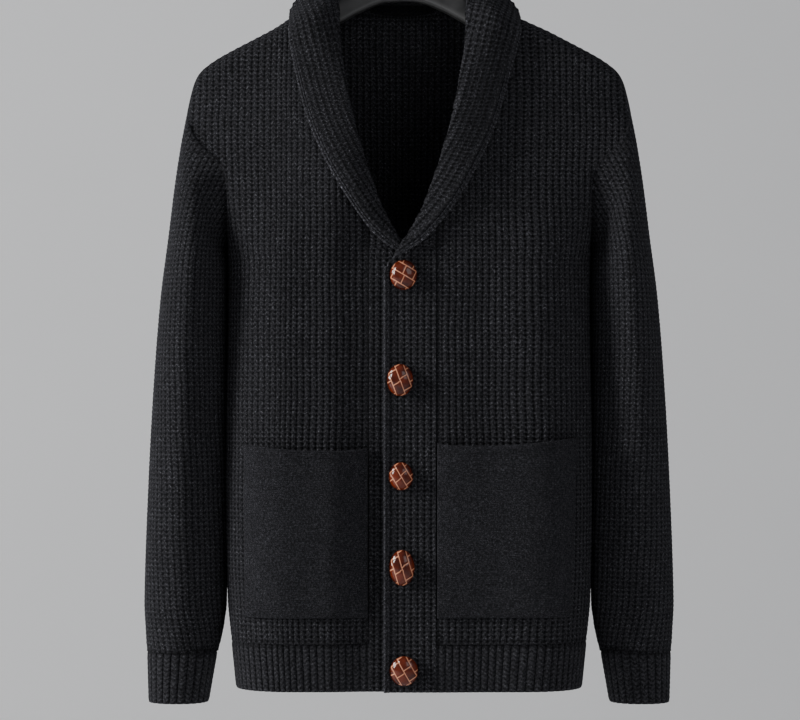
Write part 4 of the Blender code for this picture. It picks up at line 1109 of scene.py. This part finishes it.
def node_group(name, takes, gives):
    tree = bpy.data.node_groups.new(name, "ShaderNodeTree")
    for label, kind in takes:
        tree.interface.new_socket(label, in_out="INPUT", socket_type=kind)
    for label in gives:
        tree.interface.new_socket(label, in_out="OUTPUT", socket_type=FLOAT)
    return tree, tree.nodes.new("NodeGroupInput").outputs, tree.nodes.new("NodeGroupOutput").inputs


def placed_group(group, **settings):
    node = beside("ShaderNodeGroup", *settings.values())
    node.node_tree = group
    for label, value in settings.items():
        wire_up(node.inputs[label], value)
    return node.outputs


def grey(value):
    return (value, value, value, 1.0)


# %% [markdown]
# ## Node group: stitches
# A plain knit stitch is a V of two leaning legs, and a column of them is a wale. Folding the place
# across a wale at its middle makes both legs from one set of slanting waves. A finer wave on top is
# the twist of the yarn. A slow noise bends the waves, because hand-linked wool is never even.

# %% Stitches
stitches, takes, gives = node_group(
    "stitches", (("Knit", VECTOR), ("Wale", FLOAT), ("Course", FLOAT), ("Lean", FLOAT)),
    ("Loops", "Twist", "Pit"))
bent = noise(takes["Knit"], 160.0, detail=1.0)
split = stitches.nodes.new("ShaderNodeSeparateXYZ")
wire_up(split.inputs[0], takes["Knit"])
across = maths("DIVIDE", split.outputs["X"], takes["Wale"])
folded = maths("SUBTRACT", maths("FRACT", across), 0.5)
folded = maths("ABSOLUTE", folded)
upward = maths("DIVIDE", split.outputs["Y"], takes["Course"])
leg = added(upward, (folded, takes["Lean"]), (bent, 0.7))
loops = maths("SINE", product(leg, 2 * math.pi))
twist = maths("SINE", product(added(leg, (folded, 5.0)), 6 * math.pi))
wire_up(gives["Loops"], ranged(loops, -1.0, 1.0))
wire_up(gives["Twist"], ranged(twist, -1.0, 1.0))
# Pit is highest in the small holes of the waffle's gaps; the knit finish darkens them as painted
# shade.
open_gap = ranged(folded, 0.26, 0.42, 0.16, 1.0)
open_row = maths("COSINE", product(upward, 2 * math.pi))
open_row = ranged(open_row, -0.75, 0.35, 0.4, 1.0)
wire_up(gives["Pit"], product(open_gap, open_row))

# %% [markdown]
# ## Node group: yarn
# The yarn is spun from nearly black and dark grey wool, so its tone varies from fibre to fibre, with
# a few pale flecks where a light fibre surfaces. It also gives a fuzz for the bump. It reads Object
# coordinates, so that the fibres lie the same way over every piece.

# %% Yarn
yarn, takes, gives = node_group(
    "yarn", (("Place", VECTOR), ("Flecks", FLOAT)), ("Tone", "Fleck", "Fuzz"))
fibre = noise(takes["Place"], 720.0, detail=3.0, roughness=0.7)
cloud = noise(takes["Place"], 45.0, detail=2.0)
patch = noise(takes["Place"], 420.0, detail=2.0)
pale = noise(takes["Place"], 800.0, detail=2.0, roughness=0.7)
tone = added(ranged(patch, 0.34, 0.66, 0.6, 1.4),
             (ranged(fibre, 0.36, 0.64, -1.0, 1.0), 0.7))
wire_up(gives["Tone"], product(tone, ranged(cloud, 0.3, 0.7, 0.9, 1.1)))
rare = added(0.68, (takes["Flecks"], -0.14))
wire_up(gives["Fleck"], ranged(pale, rare, maths("ADD", rare, 0.1)))
wire_up(gives["Fuzz"], fibre)

# %% [markdown]
# ## Node group: grain
# Moulded plastic, lacquered leather and drawn wire all have a faint grain. The same group serves all
# three, at its own size: a height for the bump, and a slower smear that varies the gloss.

# %% Grain
SMEAR_LOW, SMEAR_HIGH = 0.35, 0.65  # where most of the smear lies
grain, takes, gives = node_group("grain", (("Place", VECTOR), ("Size", FLOAT)), ("Height", "Smear"))
per_metre = maths("DIVIDE", 1.0, takes["Size"])
wire_up(gives["Height"], noise(takes["Place"], per_metre, detail=2.0))
wire_up(gives["Smear"], noise(takes["Place"], product(per_metre, 0.06), detail=3.0))

# %% [markdown]
# ## The three knits
# Waffle, rib and the brushed pocket knit share one recipe and differ in their numbers. Shade is
# painted into the colour: the relief attribute, kept from when the mesh was lifted, darkens seams and
# grooves, and the stitches' pits and the gaps between their legs are darkened too, where light hardly
# reaches. The cords at the free edges get a painted highlight. Wool scatters light at its edge, which
# is the sheen, set on the shader itself.

# %% The knit recipe
def read(tree, name):
    node = tree.nodes.new("ShaderNodeAttribute")
    node.attribute_name = name
    return node.outputs["Fac"]


def new_material(name, roughness, metallic=0.0):
    material = bpy.data.materials.new(name)
    material.use_nodes = True
    tree = material.node_tree
    shader = tree.nodes["Principled BSDF"].inputs
    shader["Roughness"].default_value = roughness
    shader["Metallic"].default_value = metallic
    coords = tree.nodes.new("ShaderNodeTexCoord").outputs
    return material, tree, shader, coords


def bumped(shader, height, distance, strength=1.0):
    bump = beside("ShaderNodeBump", height)
    bump.inputs["Strength"].default_value = strength
    bump.inputs["Distance"].default_value = distance
    wire_up(bump.inputs["Height"], height)
    wire_up(shader["Normal"], bump.outputs["Normal"])


def knit(name, pit, top, wale, course, lean, loop_high, flecks, sheen, painted_cord_highlight=1.0):
    """Colours go from the bottom of the stitches to their top, darkened by painted shade in pits,
    gaps and seams; sizes are in mm. The cords along the free edges are knitted tight, and a painted
    highlight makes them brighter."""
    material, tree, shader, coords = new_material(name, 0.9)
    stitch = placed_group(stitches, Knit=coords["UV"], Wale=wale * MM, Course=course * MM, Lean=lean)
    wool = placed_group(yarn, Place=coords["Object"], Flecks=flecks)
    # Painted shade: seams and grooves (relief), the gaps between the loops' legs and the pits darken
    # the colour; the cords get a painted highlight.
    hollow = product(stitch["Pit"], read(tree, "cells"))
    lit = product(maths("POWER", read(tree, "relief"), 2.1),
                  ranged(stitch["Loops"], 0.0, 1.0, 0.4, 1.0),
                  maths("SUBTRACT", 1.0, hollow),
                  ranged(read(tree, "cells"), 0.0, 0.6, painted_cord_highlight, 1.0))
    colour = mixed(lit, pit, top)
    colour = mixed(1.0, colour, wool["Tone"], "MULTIPLY")
    pale = mixed(1.0, colour, grey(3.6), "MULTIPLY")
    wire_up(shader["Base Color"], mixed(wool["Fleck"], colour, pale))
    wire_up(shader["Roughness"], ranged(wool["Fuzz"], 0.3, 0.7, 0.82, 0.98))
    rise = added(stitch["Loops"], (stitch["Twist"], 0.3), (wool["Fuzz"], 1.4), (hollow, -1.6))
    bumped(shader, rise, loop_high * MM, 1.0)
    shader["Specular IOR Level"].default_value = 0.12
    shader["Sheen Weight"].default_value = sheen
    shader["Sheen Roughness"].default_value = 0.45
    shader["Sheen Tint"].default_value = (0.75, 0.75, 0.85, 1)
    return material


# PIT is the colour where the painted shade is deepest, TOP the yarn where nothing darkens it; the
# waffle's cords get a painted highlight.
PIT, TOP = (0.0010, 0.0010, 0.0013, 1), (0.040, 0.040, 0.045, 1)
WAFFLE_KNIT = knit("waffle_knit", PIT, TOP, WALE, COURSE, 1.5, 1.2, 0.9, 0.05, painted_cord_highlight=1.8)
RIB_KNIT = knit("rib_knit", PIT, TOP, 7.2, 4.4, 1.2, 0.8, 0.4, 0.05)
FELT_PIT, FELT_TOP = (0.0035, 0.0035, 0.0042, 1), (0.0165, 0.0165, 0.019, 1)
FINE_KNIT = knit("fine_knit", FELT_PIT, FELT_TOP, 2.2, 1.8, 1.0, 1.0, 1.4, 0.06)
print("three knits")

# %% [markdown]
# ## Lacquered leather
# The buttons are pressed and lacquered to a high gloss. The joint attribute draws the pale raised
# edges where the lacquer has caught, and thread marks the sewing thread wound round the shank.

# %% Button leather
def grained(name, roughness, size, dark, light, metallic=0.0):
    """The start of a hard finish: a grain of its own size in metres, and a colour between two."""
    material, tree, shader, coords = new_material(name, roughness, metallic)
    skin = placed_group(grain, Place=coords["Object"], Size=size)
    colour = mixed(ranged(skin["Smear"], SMEAR_LOW, SMEAR_HIGH), dark, light)
    return material, tree, shader, skin, colour


BUTTON_LEATHER, tree, shader, skin, brown = grained(
    "button_leather", 0.2, 0.0006, (0.05, 0.007, 0.0025, 1), (0.14, 0.02, 0.006, 1))
brown = mixed(ranged(read(tree, "joint"), 0.1, 0.8), brown, (0.7, 0.3, 0.17, 1))
wire_up(shader["Base Color"], mixed(read(tree, "thread"), brown, (0.012, 0.012, 0.013, 1)))
wire_up(shader["Roughness"], ranged(skin["Smear"], 0.3, 0.7, 0.12, 0.24))
bumped(shader, skin["Height"], 0.00006, 0.4)
shader["Specular IOR Level"].default_value = 0.2
shader["Coat Weight"].default_value = 0.45
shader["Coat Roughness"].default_value = 0.05

# %% [markdown]
# ## Plastic and steel
# The hanger is black polypropylene with a satin, faintly grained skin, paler where the moulding's
# lower edge catches the light. The hook is drawn steel: metallic, with a fine grain in its gloss.

# %% Hanger plastic and hook steel
HANGER_PLASTIC, tree, shader, skin, black = grained(
    "hanger_plastic", 0.38, 0.0009, grey(0.022), grey(0.032))
in_groove = ranged(read(tree, "relief"), 0.2, 0.9)
wire_up(shader["Base Color"], mixed(in_groove, black, grey(0.07)))
wire_up(shader["Roughness"], ranged(skin["Smear"], 0.3, 0.7, 0.32, 0.46))
bumped(shader, skin["Height"], 0.00006, 0.5)

HOOK_STEEL, tree, shader, skin, steel = grained(
    "hook_steel", 0.25, 0.0004, grey(0.42), grey(0.6), metallic=1.0)
wire_up(shader["Base Color"], steel)
wire_up(shader["Roughness"], ranged(skin["Height"], 0.3, 0.7, 0.18, 0.34))
bumped(shader, skin["Height"], 0.00003, 0.4)

# %% Put each finish on its pieces
FINISHES = {"_knit": WAFFLE_KNIT, "_rib": RIB_KNIT, "_plaited": BUTTON_LEATHER,
            "_moulding": HANGER_PLASTIC, "_wire": HOOK_STEEL}
for piece in bpy.context.scene.objects:
    for ending, finish in FINISHES.items():
        if piece.name.endswith(ending):
            pocket = piece.name.startswith("pocket")
            piece.data.materials.clear()
            piece.data.materials.append(FINE_KNIT if pocket else finish)
            print(piece.name, "is in", piece.data.materials[0].name)

# %% [markdown]
# ## Setting, light and camera
# A pale sheet runs from the floor up behind the garment in one curve, which leaves no corner to
# distract. A large soft light far to the left, and a little above, rakes across the knit, so that
# the pits and the lapel's shadow show. A weak light at the front and an even sky fill the shadows.

# %% Backdrop
FLOOR_Z, FLOOR_LONG, WALL_Y, WALL_TALL, CURVE, STAGE_HALF = -1.7, 10.0, 4.9, 2.9, 0.25, 6.0
QUARTER = CURVE * math.pi / 2  # the length of the curve from floor to wall
sweep = bmesh.new()
bmesh.ops.create_grid(sweep, x_segments=1, y_segments=120, size=STAGE_HALF)
for spot in sweep.verts:
    run = (spot.co.y / STAGE_HALF + 1) / 2 * (FLOOR_LONG + QUARTER + WALL_TALL)
    turn = min(max(run - FLOOR_LONG, 0) / CURVE, math.pi / 2)
    y = WALL_Y - CURVE - FLOOR_LONG + min(run, FLOOR_LONG) + CURVE * math.sin(turn)
    z = FLOOR_Z + CURVE * (1 - math.cos(turn)) + max(run - FLOOR_LONG - QUARTER, 0)
    spot.co = (spot.co.x, y, z)
backdrop = linked("backdrop", bpy.data.meshes.new("backdrop"))
sweep.to_mesh(backdrop.data)
sweep.free()
backdrop.data.shade_smooth()
PAPER, tree, shader, coords = new_material("backdrop_paper", 0.85)
mottle = noise(coords["Object"], 3.0)
wire_up(shader["Base Color"], mixed(mottle, grey(0.80), grey(0.83)))
backdrop.data.materials.append(PAPER)
print("backdrop floor at", FLOOR_Z)


# %% Lights and camera
def soft_light(name, place, aim, size, power):
    lamp = bpy.data.lights.new(name, "AREA")
    lamp.shape = "RECTANGLE"
    lamp.size, lamp.size_y = size
    lamp.energy = power
    light = linked(name, lamp)
    light.location = place
    light.rotation_euler = (Vector(aim) - Vector(place)).to_track_quat("-Z", "Y").to_euler()


soft_light("key", (-5.7, -1.5, 1.5), (0, 0, -0.4), (1.6, 2.2), 470)
soft_light("fill", (1.7, -2.7, 0.8), (0, 0, -0.45), (2.0, 2.0), 22)

sky = bpy.data.worlds.new("sky")
sky.use_nodes = True
glow = sky.node_tree.nodes["Background"].inputs
glow["Color"].default_value = (0.9, 0.92, 1.0, 1)
glow["Strength"].default_value = 0.24
bpy.context.scene.world = sky

lens = bpy.data.cameras.new("camera")
lens.sensor_width = 36
lens.lens = 135
eye = linked("camera", lens)
eye.location = (-0.0025, -3.0, -0.475)
eye.rotation_euler = (math.pi / 2, 0, 0)
bpy.context.scene.camera = eye
